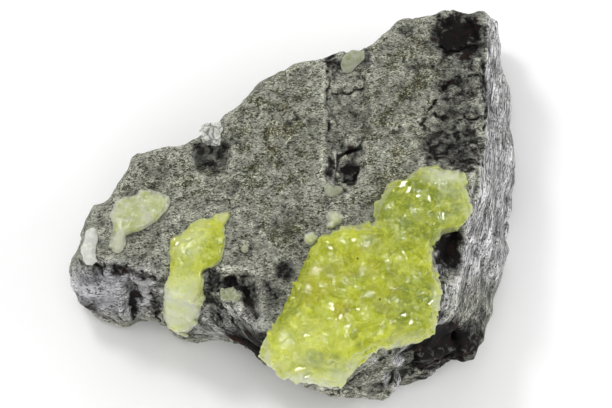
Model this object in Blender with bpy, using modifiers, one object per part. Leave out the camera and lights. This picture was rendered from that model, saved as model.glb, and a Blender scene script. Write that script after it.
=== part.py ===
"""Brucite crusts on a serpentinite matrix, a hand specimen that lies on its broken back.

Metres, +Z up. The origin is on the ground, under the middle of the specimen's box.

Every outline is given in millimetres in the display plane: across is world X, and up runs
along a plane that leans DISPLAY_LEAN back from level, so that the broad face and the lower
flank are both seen in it. The third direction, out, points from the stone to the viewer.
"""

import math
from typing import NamedTuple

import bmesh
import bpy
from mathutils import Matrix, Vector, noise
from mathutils.bvhtree import BVHTree

MM = 0.001
DISPLAY_LEAN = math.radians(25.0)
UP_RUN, UP_RISE = math.cos(DISPLAY_LEAN), math.sin(DISPLAY_LEAN)
UP = Vector((0.0, UP_RUN, UP_RISE))
OUT = Vector((0.0, -UP_RISE, UP_RUN))

# The broad face is a plane: its height over the origin and its rise per millimetre in X and Y.
FACE_HEIGHT = 26.0
FACE_RISE_X = 0.07
FACE_RISE_Y = -0.05
GIRDLE_HEIGHT = 7.0
FOOT_HEIGHT = -2.4
FOOT_SHARE = 0.93
FOOT_SETBACK = Vector((0.0, 2.6, 0.0))  # in millimetres: the stone undercuts its lower edge
ROCK_VOXEL = 1.0
ROCK_TRIANGLES = 4700
CLEARANCE = 0.3
CRUST_VOXEL = 0.6

# Edge of the broad face, anticlockwise from its top right corner: (across, up).
RIM = [
    (38.9, 38.3), (35.6, 39.2), (30.6, 40.2), (26.6, 38.6), (21.6, 37.4), (17.6, 33.8),
    (15.6, 31.4), (11.6, 31.2), (8.6, 29.6), (2.4, 29.0), (-2.6, 26.2), (-6.2, 24.8),
    (-7.0, 22.8), (-10.6, 21.0), (-14.2, 18.0), (-15.6, 16.0), (-18.6, 13.6), (-22.6, 12.0),
    (-28.6, 10.4), (-30.6, 9.4), (-33.0, 6.8), (-37.2, 1.4), (-39.8, 0.4), (-41.2, -2.2),
    (-41.6, -7.0), (-41.8, -11.4), (-38.2, -12.6), (-32.4, -13.6), (-26.4, -14.6),
    (-18.6, -15.6), (-11.6, -19.6), (-7.0, -25.4), (-0.6, -28.6), (7.4, -29.4),
    (13.2, -28.2), (18.0, -26.2), (22.8, -24.8), (27.6, -22.8), (29.6, -17.2), (31.4, -12.0),
    (33.4, -6.0), (35.6, -0.2), (37.2, 6.6), (38.4, 13.6), (39.2, 20.6), (39.4, 30.6),
]

# The stone's widest line, below the face, anticlockwise from under the same corner.
GIRDLE = [
    (41.2, 36.4), (34.0, 34.5), (24.0, 33.0), (15.0, 28.0), (6.0, 25.5), (-5.0, 21.5),
    (-14.0, 14.5), (-22.0, 8.5), (-32.0, 4.0), (-38.6, -2.5), (-42.0, -6.2), (-43.4, -10.4),
    (-45.2, -13.6), (-45.2, -17.2), (-44.2, -20.6), (-41.6, -22.2), (-37.6, -22.8),
    (-35.4, -23.8), (-33.2, -23.4), (-30.6, -22.4), (-27.2, -23.0), (-21.6, -26.6),
    (-15.6, -27.4), (-10.6, -28.6), (-7.2, -30.6), (-5.2, -32.4), (-1.6, -34.2),
    (1.0, -35.4), (3.8, -37.4), (8.4, -39.0), (13.4, -39.4), (17.8, -38.8), (20.6, -37.2),
    (22.0, -35.2), (27.2, -34.2), (33.0, -32.2), (36.0, -30.6), (38.4, -27.4), (40.6, -22.4),
    (40.8, -19.0), (42.0, -16.4), (42.8, -11.0), (43.8, -6.0), (44.4, -0.4), (45.8, 7.6),
    (45.2, 13.8), (44.2, 21.2), (43.8, 27.0), (43.2, 32.0),
]


class Scar(NamedTuple):
    """A place where the stone is broken away, in the display plane, in millimetres."""

    across: float
    up: float
    half_width: float
    half_length: float
    turn: float
    depth: float


SCARS = [
    Scar(11.0, 16.4, 3.2, 13.0, -3.0, 1.2),  # the long trough down the middle of the face
    Scar(10.6, 7.4, 2.8, 3.6, -12.0, 1.5),  # its deep lower end
    Scar(34.4, 26.0, 4.8, 7.0, -3.0, 1.1),  # the terrace along the right ridge
    Scar(32.6, 14.0, 7.4, 4.6, 0.0, 1.2),  # its wider lower step
    Scar(32.6, 34.4, 4.0, 2.6, 4.0, 1.5),  # dark socket in the top corner
    Scar(31.8, 23.6, 3.4, 0.9, 12.0, 1.6),  # open crack across the terrace
    Scar(-16.2, 9.0, 3.2, 2.8, 0.0, 1.5),  # pit below the knob
    Scar(-12.4, -18.6, 4.8, 4.2, 0.0, 2.2),  # ring hollow
    Scar(-1.6, -12.6, 1.6, 2.0, 20.0, 1.4),  # small hollow left of the main crust
    Scar(31.0, -10.4, 2.2, 4.6, -14.0, 3.6),  # hollow right of the main crust
    Scar(27.0, -28.0, 5.8, 1.7, 12.0, 3.6),  # hollow under the main crust
    Scar(-38.6, -12.8, 1.5, 1.5, 0.0, 1.6),  # cavities along the left end's edge
    Scar(-33.6, -13.0, 2.0, 1.2, 0.0, 1.6),
    Scar(-31.6, -18.8, 1.5, 2.8, -8.0, 2.2),  # cleft in the lower left flank
]
LUMP = Scar(-12.4, -19.0, 2.6, 2.4, 0.0, -2.0)  # the knob inside the ring hollow


class Lobe(NamedTuple):
    """A rounded growth on the stone, in the display plane, in millimetres."""

    across: float
    up: float
    radius: float
    rise: float


# Ways the stone is moved before it cuts a crust, which leave a gap of at least their length.
CLEAR_OF_FRONT = (OUT * CLEARANCE, Vector((0.0, -0.65, 0.0)) * CLEARANCE)
CLEAR_OF_BACK = (Vector((-0.25, 0.4, 0.88)) * CLEARANCE, Vector((-0.35, 0.55, 0.0)) * CLEARANCE)


class Crust(NamedTuple):
    """A skin of brucite: an outlined sheet on the stone with rounded lobes grown over it.

    Where the stone falls away by more than the lip, the crust grows on out over the drop.
    """

    name: str
    outline: list
    thickness: float
    lobes: list
    triangles: int
    material: str
    clear_ways: tuple = CLEAR_OF_FRONT
    lip: float = 50.0


MAIN_OUTLINE = [
    (24.7, 5.9), (25.9, 6.9), (28.5, 7.7), (29.4, 6.9), (30.6, 6.1), (33.6, 5.9), (34.3, 4.9),
    (34.1, 3.3), (34.3, 1.9), (35.2, -1.4), (34.8, -2.8), (33.6, -3.2), (32.9, -4.5),
    (31.9, -5.7), (30.3, -5.9), (28.9, -6.5), (27.4, -7.9), (26.9, -10.8), (28.0, -13.5),
    (28.9, -15.6), (28.9, -17.4), (28.3, -20.8), (27.6, -23.4), (26.6, -25.0), (23.9, -26.7),
    (21.1, -28.2), (19.6, -28.2), (17.4, -27.2), (15.6, -29.2), (13.4, -31.1), (10.9, -33.0),
    (10.3, -34.5), (9.2, -35.2), (3.8, -34.8), (1.6, -34.0), (-2.4, -33.5), (-4.7, -31.4),
    (-6.5, -30.0), (-5.5, -26.8), (-3.6, -23.6), (-1.8, -20.4), (-0.2, -17.3), (0.8, -15.0),
    (2.0, -12.1), (3.5, -9.0), (5.5, -6.6), (10.3, -5.1), (12.2, -4.7), (13.8, -3.9),
    (16.0, -4.1), (16.8, -2.9), (17.1, -0.6), (18.4, 2.2), (20.0, 3.8), (23.0, 4.8),
]
MAIN_LOBES = [
    Lobe(4.0, -27.4, 5.4, 5.2), Lobe(9.0, -29.6, 3.8, 4.9), Lobe(-1.4, -28.6, 3.8, 4.5),
    Lobe(1.4, -31.6, 3.4, 4.4), Lobe(6.6, -33.0, 2.6, 4.0), Lobe(0.4, -24.0, 3.6, 4.5),
    Lobe(3.4, -21.2, 4.0, 4.8), Lobe(8.2, -21.2, 3.6, 4.6), Lobe(11.8, -19.6, 3.2, 4.7),
    Lobe(21.8, -12.6, 5.0, 4.8), Lobe(21.2, -21.0, 5.2, 4.9), Lobe(25.6, -17.8, 3.4, 4.5),
    Lobe(24.6, -23.6, 3.2, 4.3), Lobe(17.8, -25.2, 3.2, 4.3), Lobe(13.2, -25.6, 3.8, 4.7),
    Lobe(15.8, -18.8, 4.2, 4.8), Lobe(10.2, -13.0, 5.0, 4.7), Lobe(6.0, -11.8, 3.4, 4.3),
    Lobe(11.2, -7.8, 3.6, 4.3), Lobe(7.0, -8.6, 2.6, 4.0), Lobe(17.0, -8.2, 4.2, 4.6),
    Lobe(23.4, -7.2, 3.4, 4.4), Lobe(20.0, -2.2, 4.2, 4.6), Lobe(21.0, 1.6, 3.2, 4.5),
    Lobe(26.0, 3.4, 3.6, 4.5), Lobe(30.8, 3.4, 3.0, 4.3), Lobe(30.4, -1.4, 3.6, 4.4),
    Lobe(25.8, -2.4, 3.6, 4.6), Lobe(33.2, -0.8, 1.9, 3.9), Lobe(28.0, 6.0, 1.6, 3.7),
    Lobe(3.4, -16.6, 3.0, 4.2), Lobe(15.8, -13.8, 3.4, 4.5), Lobe(3.4, -33.0, 2.0, 3.9),
]
MIDDLE_OUTLINE = [
    (-11.9, -1.3), (-12.6, -3.2), (-13.5, -4.4), (-13.3, -5.9), (-13.1, -7.8), (-13.7, -10.2),
    (-14.0, -11.8), (-15.8, -12.6), (-18.1, -13.4), (-17.2, -15.0), (-17.5, -17.0),
    (-17.2, -18.9), (-18.0, -21.6), (-19.4, -24.4), (-21.4, -27.0), (-23.4, -26.4),
    (-25.0, -25.0), (-26.0, -23.0), (-26.1, -21.0), (-25.4, -18.6), (-25.4, -16.2),
    (-24.1, -14.1), (-24.0, -11.5), (-24.0, -9.2), (-23.3, -7.2), (-21.8, -6.0), (-20.2, -4.9),
    (-18.7, -3.1), (-17.3, -3.2), (-15.9, -2.8), (-14.1, -1.9),
]
MIDDLE_LOBES = [
    Lobe(-21.6, -9.0, 2.8, 3.2), Lobe(-16.8, -7.6, 3.4, 3.4), Lobe(-16.0, -10.2, 2.2, 3.2),
    Lobe(-18.8, -5.6, 2.2, 2.8), Lobe(-20.8, -12.4, 3.2, 2.9), Lobe(-21.2, -16.0, 3.6, 2.6),
    Lobe(-22.4, -19.4, 3.4, 2.5), Lobe(-20.6, -20.4, 3.0, 2.5), Lobe(-22.2, -22.8, 3.2, 2.5),
]
LEFT_OUTLINE = [
    (-36.2, -2.6), (-35.6, -0.6), (-34.0, 1.1), (-31.5, 1.5), (-30.1, 2.4), (-28.3, 2.8),
    (-26.1, 1.9), (-23.9, 0.5), (-24.6, -1.1), (-26.1, -2.8), (-27.4, -4.0), (-28.6, -4.8),
    (-30.3, -5.6), (-32.3, -6.2), (-33.4, -6.6), (-32.6, -8.0), (-33.2, -9.2), (-34.6, -10.1),
    (-35.8, -9.5), (-36.2, -7.9), (-35.6, -6.2), (-35.4, -4.8),
]
LEFT_LOBES = [
    Lobe(-32.6, -2.2, 3.2, 2.6), Lobe(-28.4, -0.6, 3.2, 2.6), Lobe(-30.4, -3.0, 2.6, 2.5),
    Lobe(-26.0, 0.2, 1.8, 2.2), Lobe(-34.3, -7.8, 1.6, 2.2),
]
WHITE_OUTLINE = [
    (-41.0, -5.3), (-39.6, -5.0), (-38.4, -5.4), (-38.2, -7.4), (-38.8, -9.4), (-38.3, -11.3),
    (-39.4, -12.7), (-40.8, -11.7), (-41.9, -10.4), (-41.8, -8.6), (-41.0, -7.3),
]
WHITE_LOBES = [
    Lobe(-39.8, -6.6, 1.4, 1.9), Lobe(-40.3, -9.2, 1.6, 2.1), Lobe(-39.8, -11.0, 1.3, 1.8),
]
CRUSTS = [
    Crust("main_crust", MAIN_OUTLINE, 3.8, MAIN_LOBES, 1700, "yellow", lip=4.2),
    Crust("middle_crust", MIDDLE_OUTLINE, 2.3, MIDDLE_LOBES, 700, "yellow"),
    Crust("left_crust", LEFT_OUTLINE, 2.0, LEFT_LOBES, 400, "pale"),
    Crust("white_crust", WHITE_OUTLINE, 1.1, WHITE_LOBES, 180, "white"),
    Crust(
        "rim_knob", [], 0.0,
        [
            Lobe(-15.8, 14.2, 1.8, 2.2), Lobe(-17.4, 14.6, 1.3, 1.7),
            Lobe(-15.6, 12.6, 1.4, 1.9), Lobe(-17.0, 12.6, 1.2, 1.7),
        ], 160, "white", CLEAR_OF_BACK,
    ),
    Crust("upper_bead", [], 0.0, [Lobe(7.6, 2.0, 1.5, 1.4), Lobe(8.8, 2.3, 1.3, 1.3)], 100, "pale"),
    Crust("tall_bead", [], 0.0, [Lobe(8.3, -3.2, 1.6, 2.2), Lobe(7.5, -4.3, 1.0, 1.9)], 120, "pale"),
    Crust("low_bead", [], 0.0, [Lobe(3.5, -7.1, 1.5, 2.0)], 100, "pale"),
    Crust("face_bead", [], 0.0, [Lobe(-9.4, -9.2, 0.95, 1.1)], 70, "white"),
    Crust(
        "hollow_crust", [], 0.0,
        [Lobe(-12.8, -18.0, 1.5, 1.4), Lobe(-11.2, -18.4, 1.3, 1.3)], 110, "white",
    ),
]
SHEET_SPACING = 1.1
SHEET_EDGE = 1.3
SHEET_ROOT = 1.5
# The cleavage plate in the upper edge: its outline and how far it stands out of the stone.
RIM_PLATE = [
    (9.8, 29.2), (11.4, 30.6), (14.4, 30.6), (14.6, 28.8), (13.0, 27.6), (11.8, 26.0), (9.6, 25.8),
]
RIM_PLATE_RISE = 1.0
PLATE_ROOT = 3.0


def display_point(across, up, out):
    """World position of a point given in the display plane, in millimetres."""
    return (Vector((across, 0.0, 0.0)) + UP * up + OUT * out) * MM


def point_at_height(across, up, height):
    """World position of the point that shows at (across, up) and stands at this height."""
    return display_point(across, up, (height - up * UP_RISE) / UP_RUN)


def face_height(across, up):
    """Height of the broad face's plane where it shows at (across, up)."""
    rise_y = FACE_RISE_Y / UP_RUN
    return (FACE_HEIGHT + FACE_RISE_X * across + rise_y * up) / (1.0 + rise_y * UP_RISE)


def face_normal():
    return Vector((-FACE_RISE_X, -FACE_RISE_Y, 1.0)).normalized()


def clear_scene():
    for obj in list(bpy.data.objects):
        bpy.data.objects.remove(obj, do_unlink=True)


def make_collection(name):
    collection = bpy.data.collections.new(name)
    bpy.context.scene.collection.children.link(collection)
    return collection


def make_material(name, colour, roughness):
    material = bpy.data.materials.new(name)
    material.use_nodes = True
    shader = material.node_tree.nodes["Principled BSDF"]
    shader.inputs["Base Color"].default_value = (*colour, 1.0)
    shader.inputs["Roughness"].default_value = roughness
    shader.inputs["Metallic"].default_value = 0.0
    return material


def make_object(name, bm, collection, material=None):
    mesh = bpy.data.meshes.new(name)
    bm.to_mesh(mesh)
    bm.free()
    obj = bpy.data.objects.new(name, mesh)
    collection.objects.link(obj)
    if material:
        mesh.materials.append(material)
    return obj


def hide_as_helper(obj):
    obj.hide_render = True
    obj.display_type = "WIRE"


def apply_modifiers(obj):
    """Replaces the object's mesh by the one its modifiers make."""
    graph = bpy.context.evaluated_depsgraph_get()
    mesh = bpy.data.meshes.new_from_object(obj.evaluated_get(graph))
    obj.modifiers.clear()
    obj.data = mesh


def add_voxel_remesh(obj, voxel_mm):
    modifier = obj.modifiers.new("Voxels", "REMESH")
    modifier.mode = "VOXEL"
    modifier.voxel_size = voxel_mm * MM


def add_decimate(obj, triangles):
    """Collapses the mesh to about this many triangles."""
    obj.data.calc_loop_triangles()
    modifier = obj.modifiers.new("Decimate", "DECIMATE")
    modifier.ratio = min(1.0, triangles / len(obj.data.loop_triangles))
    modifier.use_collapse_triangulate = True


def add_difference(obj, cutter):
    modifier = obj.modifiers.new("Cut", "BOOLEAN")
    modifier.operation = "DIFFERENCE"
    modifier.solver = "EXACT"
    modifier.object = cutter


def keep_largest_body(obj):
    """Drops the loose chips that a cut can leave beside the main body."""
    bm = bmesh.new()
    bm.from_mesh(obj.data)
    waiting = set(bm.verts)
    bodies = []
    while waiting:
        body, edge_of_body = set(), [waiting.pop()]
        while edge_of_body:
            vertex = edge_of_body.pop()
            body.add(vertex)
            near = {edge.other_vert(vertex) for edge in vertex.link_edges} & waiting
            waiting -= near
            edge_of_body.extend(near)
        bodies.append(body)
    largest = max(bodies, key=len)
    chips = [vertex for body in bodies if body is not largest for vertex in body]
    bmesh.ops.delete(bm, geom=chips, context="VERTS")
    bm.to_mesh(obj.data)
    bm.free()


def add_ring(bm, points):
    """Adds a closed ring of edges through these points."""
    vertices = [bm.verts.new(point) for point in points]
    return [bm.edges.new((a, b)) for a, b in zip(vertices, vertices[1:] + vertices[:1])]


def loft_stone():
    """The stone's coarse body: foot, girdle and rim, joined and closed."""
    bm = bmesh.new()
    girdle_points = [point_at_height(*point, GIRDLE_HEIGHT) for point in GIRDLE]
    middle = sum(girdle_points, Vector()) / len(girdle_points)
    foot_points = [middle.lerp(point, FOOT_SHARE) + FOOT_SETBACK * MM for point in girdle_points]
    for point in foot_points:
        point.z = FOOT_HEIGHT * MM
    foot = add_ring(bm, foot_points)
    girdle = add_ring(bm, girdle_points)
    rim = add_ring(bm, [point_at_height(*point, face_height(*point)) for point in RIM])
    bmesh.ops.bridge_loops(bm, edges=foot + girdle)
    bmesh.ops.bridge_loops(bm, edges=girdle + rim)
    for ring in (foot, rim):
        bmesh.ops.contextual_create(bm, geom=ring)
    bmesh.ops.recalc_face_normals(bm, faces=bm.faces)
    return bm


def scar_depth(scar, across, up):
    """How deep the scar is at (across, up): flat inside, with a short broken slope round it."""
    turn = math.radians(scar.turn)
    along_x, along_y = across - scar.across, up - scar.up
    x = (along_x * math.cos(turn) + along_y * math.sin(turn)) / scar.half_width
    y = (along_y * math.cos(turn) - along_x * math.sin(turn)) / scar.half_length
    reach = (abs(x) ** 3 + abs(y) ** 3) ** (1 / 3)
    return scar.depth * min(1.0, max(0.0, (1.25 - reach) / 0.4))


def facets(place, size):
    """Broken facets about this size: each cell of space tilts its own way, from -1 to 1."""
    centre = noise.voronoi(place / size)[1][0]
    tilt = noise.cell_vector(centre * 7.3) * 2.0 - Vector((1.0, 1.0, 1.0))
    return (place / size - centre).dot(tilt) * 2.0


def stone_relief(point, normal):
    """How far, in millimetres, the broken surface stands out at a point of the coarse body."""
    place = point / MM
    on_face = max(0.0, normal.dot(face_normal()))
    hidden = min(1.0, max(0.0, 0.4 - normal.dot(OUT)))
    roughness = (1.0 - 0.85 * on_face**4) * (0.55 + 0.45 * hidden)
    relief = roughness * 1.4 * noise.fractal(place / 11.0, 1.0, 2.0, 3)
    relief += roughness * (1.0 * facets(place, 10.0) + 0.5 * facets(place, 4.5))
    relief += 0.3 * noise.noise(place / 3.2)
    if normal.x > 0.45:
        # Bedding shows on the right flank as ridges that run up along it.
        across_beds = Vector((place.x * 0.5, place.y / 22.0, place.z * 0.28))
        relief += 1.1 * noise.noise(across_beds)
    return relief


def scarring(point, normal):
    """How deep the scars are at a point of the coarse body, in millimetres."""
    if normal.dot(OUT) < 0.2:
        return 0.0
    place = point / MM
    across = place.x + 1.1 * noise.noise(place / 2.6)
    up = place.dot(UP) + 1.1 * noise.noise(place / 2.6 + Vector((40.0, 0.0, 0.0)))
    return sum(scar_depth(scar, across, up) for scar in (*SCARS, LUMP))


def break_surface(point, normal):
    """The move, in millimetres, that turns a point of the coarse body into broken stone.

    On the displayed side it leans outward, so that no ledge there has an undercut.
    """
    way = (normal + OUT * 2.0 * max(0.0, normal.dot(OUT))).normalized()
    return way * stone_relief(point, normal) - OUT * scarring(point, normal)


def build_stone(collection, cutters, material):
    """The matrix: a lofted body, remeshed, broken up by relief and cut flat where it lies."""
    stone = make_object("matrix_rock", loft_stone(), collection, material)
    add_voxel_remesh(stone, ROCK_VOXEL)
    apply_modifiers(stone)
    moves = [break_surface(vertex.co, vertex.normal) for vertex in stone.data.vertices]
    for vertex, move in zip(stone.data.vertices, moves):
        vertex.co += move * MM
    add_voxel_remesh(stone, ROCK_VOXEL)
    apply_modifiers(stone)
    add_decimate(stone, ROCK_TRIANGLES)
    apply_modifiers(stone)

    bm = bmesh.new()
    size = Matrix.Diagonal((0.2, 0.2, 0.02, 1.0))
    bmesh.ops.create_cube(bm, size=1.0, matrix=Matrix.Translation((0.0, 0.0, -0.01)) @ size)
    ground = make_object("ground_cutter", bm, cutters)
    hide_as_helper(ground)
    add_difference(stone, ground)
    apply_modifiers(stone)
    return stone


def fit_to_stone(obj, stone, ways, cutters):
    """Cuts away what would be in the stone, with the stone moved out by each way in turn."""
    for way in ways:
        cutter = bpy.data.objects.new("stone_cutter", stone.data.copy())
        cutters.objects.link(cutter)
        hide_as_helper(cutter)
        cutter.data.transform(Matrix.Translation(way * MM))
        add_difference(obj, cutter)
        apply_modifiers(obj)
    keep_largest_body(obj)


def surface_out(tree, across, up, lip=50.0):
    """How far out the stone is where it shows at (across, up), in millimetres.

    It never falls further than the lip below the plane of the broad face.
    """
    start = display_point(across, up, 200.0)
    hit = tree.ray_cast(start, -OUT)[0]
    plane_out = (face_height(across, up) - up * UP_RISE) / UP_RUN
    return max(hit.dot(OUT) / MM, plane_out - lip)


def lobe_matrix(lobe, lip, tree):
    """Places a unit sphere as the lobe: round in the display plane, its middle on the stone."""
    out = surface_out(tree, lobe.across, lobe.up, lip)
    axes = Matrix((Vector((1.0, 0.0, 0.0)), UP, OUT)).transposed().to_4x4()
    size = Matrix.Diagonal((lobe.radius * MM, lobe.radius * MM, lobe.rise * MM, 1.0))
    return Matrix.Translation(display_point(lobe.across, lobe.up, out)) @ axes @ size


def edge_distance(across, up, outline):
    """Distance from a point to the nearest side of an outline, in millimetres."""
    point = Vector((across, up))
    distances = []
    for start, end in zip(outline, outline[1:] + outline[:1]):
        start, side = Vector(start), Vector(end) - Vector(start)
        share = min(1.0, max(0.0, (point - start).dot(side) / side.length_squared))
        distances.append((point - start - side * share).length)
    return min(distances)


def add_sheet(bm, crust, tree):
    """Adds the crust's sheet: its outline cut into small cells, laid on the stone, thickened."""
    face = bm.faces.new([bm.verts.new((*point, 0.0)) for point in crust.outline])
    bmesh.ops.triangulate(bm, faces=[face])
    for axis in (0, 1):
        normal = Vector((0.0, 0.0, 0.0))
        normal[axis] = 1.0
        place = min(point[axis] for point in crust.outline) + SHEET_SPACING
        while place < max(point[axis] for point in crust.outline):
            geometry = bm.verts[:] + bm.edges[:] + bm.faces[:]
            bmesh.ops.bisect_plane(bm, geom=geometry, plane_co=normal * place, plane_no=normal)
            place += SHEET_SPACING
    for vertex in bm.verts:
        across, up = vertex.co.x, vertex.co.y
        inset = min(1.0, edge_distance(across, up, crust.outline) / SHEET_EDGE)
        rise = crust.thickness * (0.45 + 0.55 * math.sqrt(inset))
        vertex.co = display_point(across, up, surface_out(tree, across, up, crust.lip) + rise)
    root = bmesh.ops.extrude_face_region(bm, geom=bm.faces[:])["geom"]
    moved = [item for item in root if isinstance(item, bmesh.types.BMVert)]
    shift = -OUT * (crust.thickness + SHEET_ROOT) * MM
    bmesh.ops.translate(bm, verts=moved, vec=shift)
    bmesh.ops.recalc_face_normals(bm, faces=bm.faces)


def build_crust(crust, tree, stone, cutters, collection, material):
    """A crust: sheet and lobes joined into one skin, and cut away where the stone is."""
    bm = bmesh.new()
    if crust.outline:
        add_sheet(bm, crust, tree)
    for lobe in crust.lobes:
        matrix = lobe_matrix(lobe, crust.lip, tree)
        bmesh.ops.create_icosphere(bm, subdivisions=3, radius=1.0, matrix=matrix)
    skin = make_object(crust.name, bm, collection, material)
    smallest = min(lobe.radius for lobe in crust.lobes)
    add_voxel_remesh(skin, min(CRUST_VOXEL, 0.3 * smallest))
    soften = skin.modifiers.new("Soften", "SMOOTH")
    soften.factor = 0.5
    soften.iterations = 3
    apply_modifiers(skin)
    add_decimate(skin, crust.triangles)
    apply_modifiers(skin)
    fit_to_stone(skin, stone, crust.clear_ways, cutters)


def build_plate(tree, stone, cutters, collection, material):
    """The cleavage plate: a flat outline with bevelled edges, rooted in the upper edge."""
    middle = sum((Vector(point) for point in RIM_PLATE), Vector((0.0, 0.0))) / len(RIM_PLATE)
    out = surface_out(tree, *middle) + RIM_PLATE_RISE
    bm = bmesh.new()
    outline = [bm.verts.new(display_point(*point, out)) for point in RIM_PLATE]
    face = bm.faces.new(outline)
    depth = RIM_PLATE_RISE + PLATE_ROOT
    root = bmesh.ops.extrude_face_region(bm, geom=[face])["geom"]
    moved = [item for item in root if isinstance(item, bmesh.types.BMVert)]
    bmesh.ops.translate(bm, verts=moved, vec=-OUT * depth * MM)
    bmesh.ops.bevel(bm, geom=bm.edges, offset=0.25 * MM, segments=1, profile=0.5, affect="EDGES")
    bmesh.ops.recalc_face_normals(bm, faces=bm.faces)
    plate = make_object("rim_plate", bm, collection, material)
    fit_to_stone(plate, stone, CLEAR_OF_FRONT, cutters)


def centre_over_origin(objects):
    """Moves the whole specimen so that its box stands on the origin, centred over it."""
    corners = [vertex.co for obj in objects for vertex in obj.data.vertices]
    low, high = (Vector([pick(co[axis] for co in corners) for axis in range(3)]) for pick in (min, max))
    shift = Vector((-(low.x + high.x) / 2.0, -(low.y + high.y) / 2.0, -low.z))
    for obj in objects:
        obj.data.transform(Matrix.Translation(shift))


def build_specimen():
    parts = make_collection("brucite_on_matrix")
    cutters = make_collection("cutters")
    rock = make_material("serpentinite", (0.20, 0.20, 0.18), 0.85)
    brucite = {
        "yellow": make_material("yellow_brucite", (0.50, 0.52, 0.06), 0.3),
        "pale": make_material("pale_brucite", (0.55, 0.60, 0.30), 0.35),
        "white": make_material("white_brucite", (0.62, 0.65, 0.55), 0.5),
    }
    stone = build_stone(parts, cutters, rock)
    tree = BVHTree.FromObject(stone, bpy.context.evaluated_depsgraph_get())
    for crust in CRUSTS:
        build_crust(crust, tree, stone, cutters, parts, brucite[crust.material])
    build_plate(tree, stone, cutters, parts, brucite["pale"])
    centre_over_origin(parts.objects)


clear_scene()
build_specimen()
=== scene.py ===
"""Looks of a brucite on matrix hand specimen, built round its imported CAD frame.

A rough block of grey serpentinite lies on its broken back. Its broad face carries crusts and
beads of yellow to white brucite. Lengths are in millimetres unless a name says otherwise, and
places on the specimen are given in the display plane: across is X, up runs along a plane that
leans back from level, and out points from the stone to the viewer.
"""

import logging
import math
from dataclasses import dataclass, field
from enum import Enum
from typing import NamedTuple

import bmesh
import bpy
import numpy as np
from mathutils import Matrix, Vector, noise
from mathutils.bvhtree import BVHTree


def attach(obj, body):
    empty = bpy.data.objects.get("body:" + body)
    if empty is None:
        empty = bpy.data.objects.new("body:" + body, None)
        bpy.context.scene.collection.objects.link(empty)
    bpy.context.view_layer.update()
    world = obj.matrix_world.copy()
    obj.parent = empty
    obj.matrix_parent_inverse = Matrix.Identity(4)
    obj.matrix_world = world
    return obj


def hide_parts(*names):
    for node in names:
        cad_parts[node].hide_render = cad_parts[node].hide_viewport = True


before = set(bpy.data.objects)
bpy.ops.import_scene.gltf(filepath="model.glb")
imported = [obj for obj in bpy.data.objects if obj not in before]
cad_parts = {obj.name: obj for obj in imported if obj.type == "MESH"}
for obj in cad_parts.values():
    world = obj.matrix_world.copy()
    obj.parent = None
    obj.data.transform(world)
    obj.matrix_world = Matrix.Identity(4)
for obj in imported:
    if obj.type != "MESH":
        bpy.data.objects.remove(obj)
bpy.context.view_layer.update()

LOG = logging.getLogger("specimen")
MM = 0.001
BODY = "root"
ROCK = "matrix_rock"
# Sockets of the Mix node, of which each kind of value has its own pair.
FACTOR, FIRST_NUMBER, SECOND_NUMBER, FIRST, SECOND, MIXED = 0, 2, 3, 6, 7, 2
OVAL = 2.5  # the power that gives patches their full oval outline
CRACK_GAP = (0.01, 0.07)  # a crack is where a point's two nearest cells are as near as this
SCATTERED = 7.3  # takes the centres of cells to places far apart in the noise

Array = np.ndarray
Piece = bpy.types.Object
Socket = bpy.types.NodeSocket
Rows = tuple[tuple[float, ...], ...]  # of numbers, each for a Patch


def linear(hex_colour: str) -> tuple[float, float, float, float]:
    """Turns an sRGB hex colour into linear light.

    Args:
        hex_colour: the colour as "#RRGGBB".

    Returns:
        Red, green, blue and an alpha of one.
    """
    channels = [int(hex_colour[place : place + 2], 16) / 255 for place in (1, 3, 5)]
    light = [c / 12.92 if c <= 0.04045 else ((c + 0.055) / 1.055) ** 2.4 for c in channels]
    return (*light, 1.0)


def per(size: float) -> float:
    """The pattern scale, per metre, that gives features of this size in millimetres."""
    return 1.0 / (size * MM)


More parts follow.
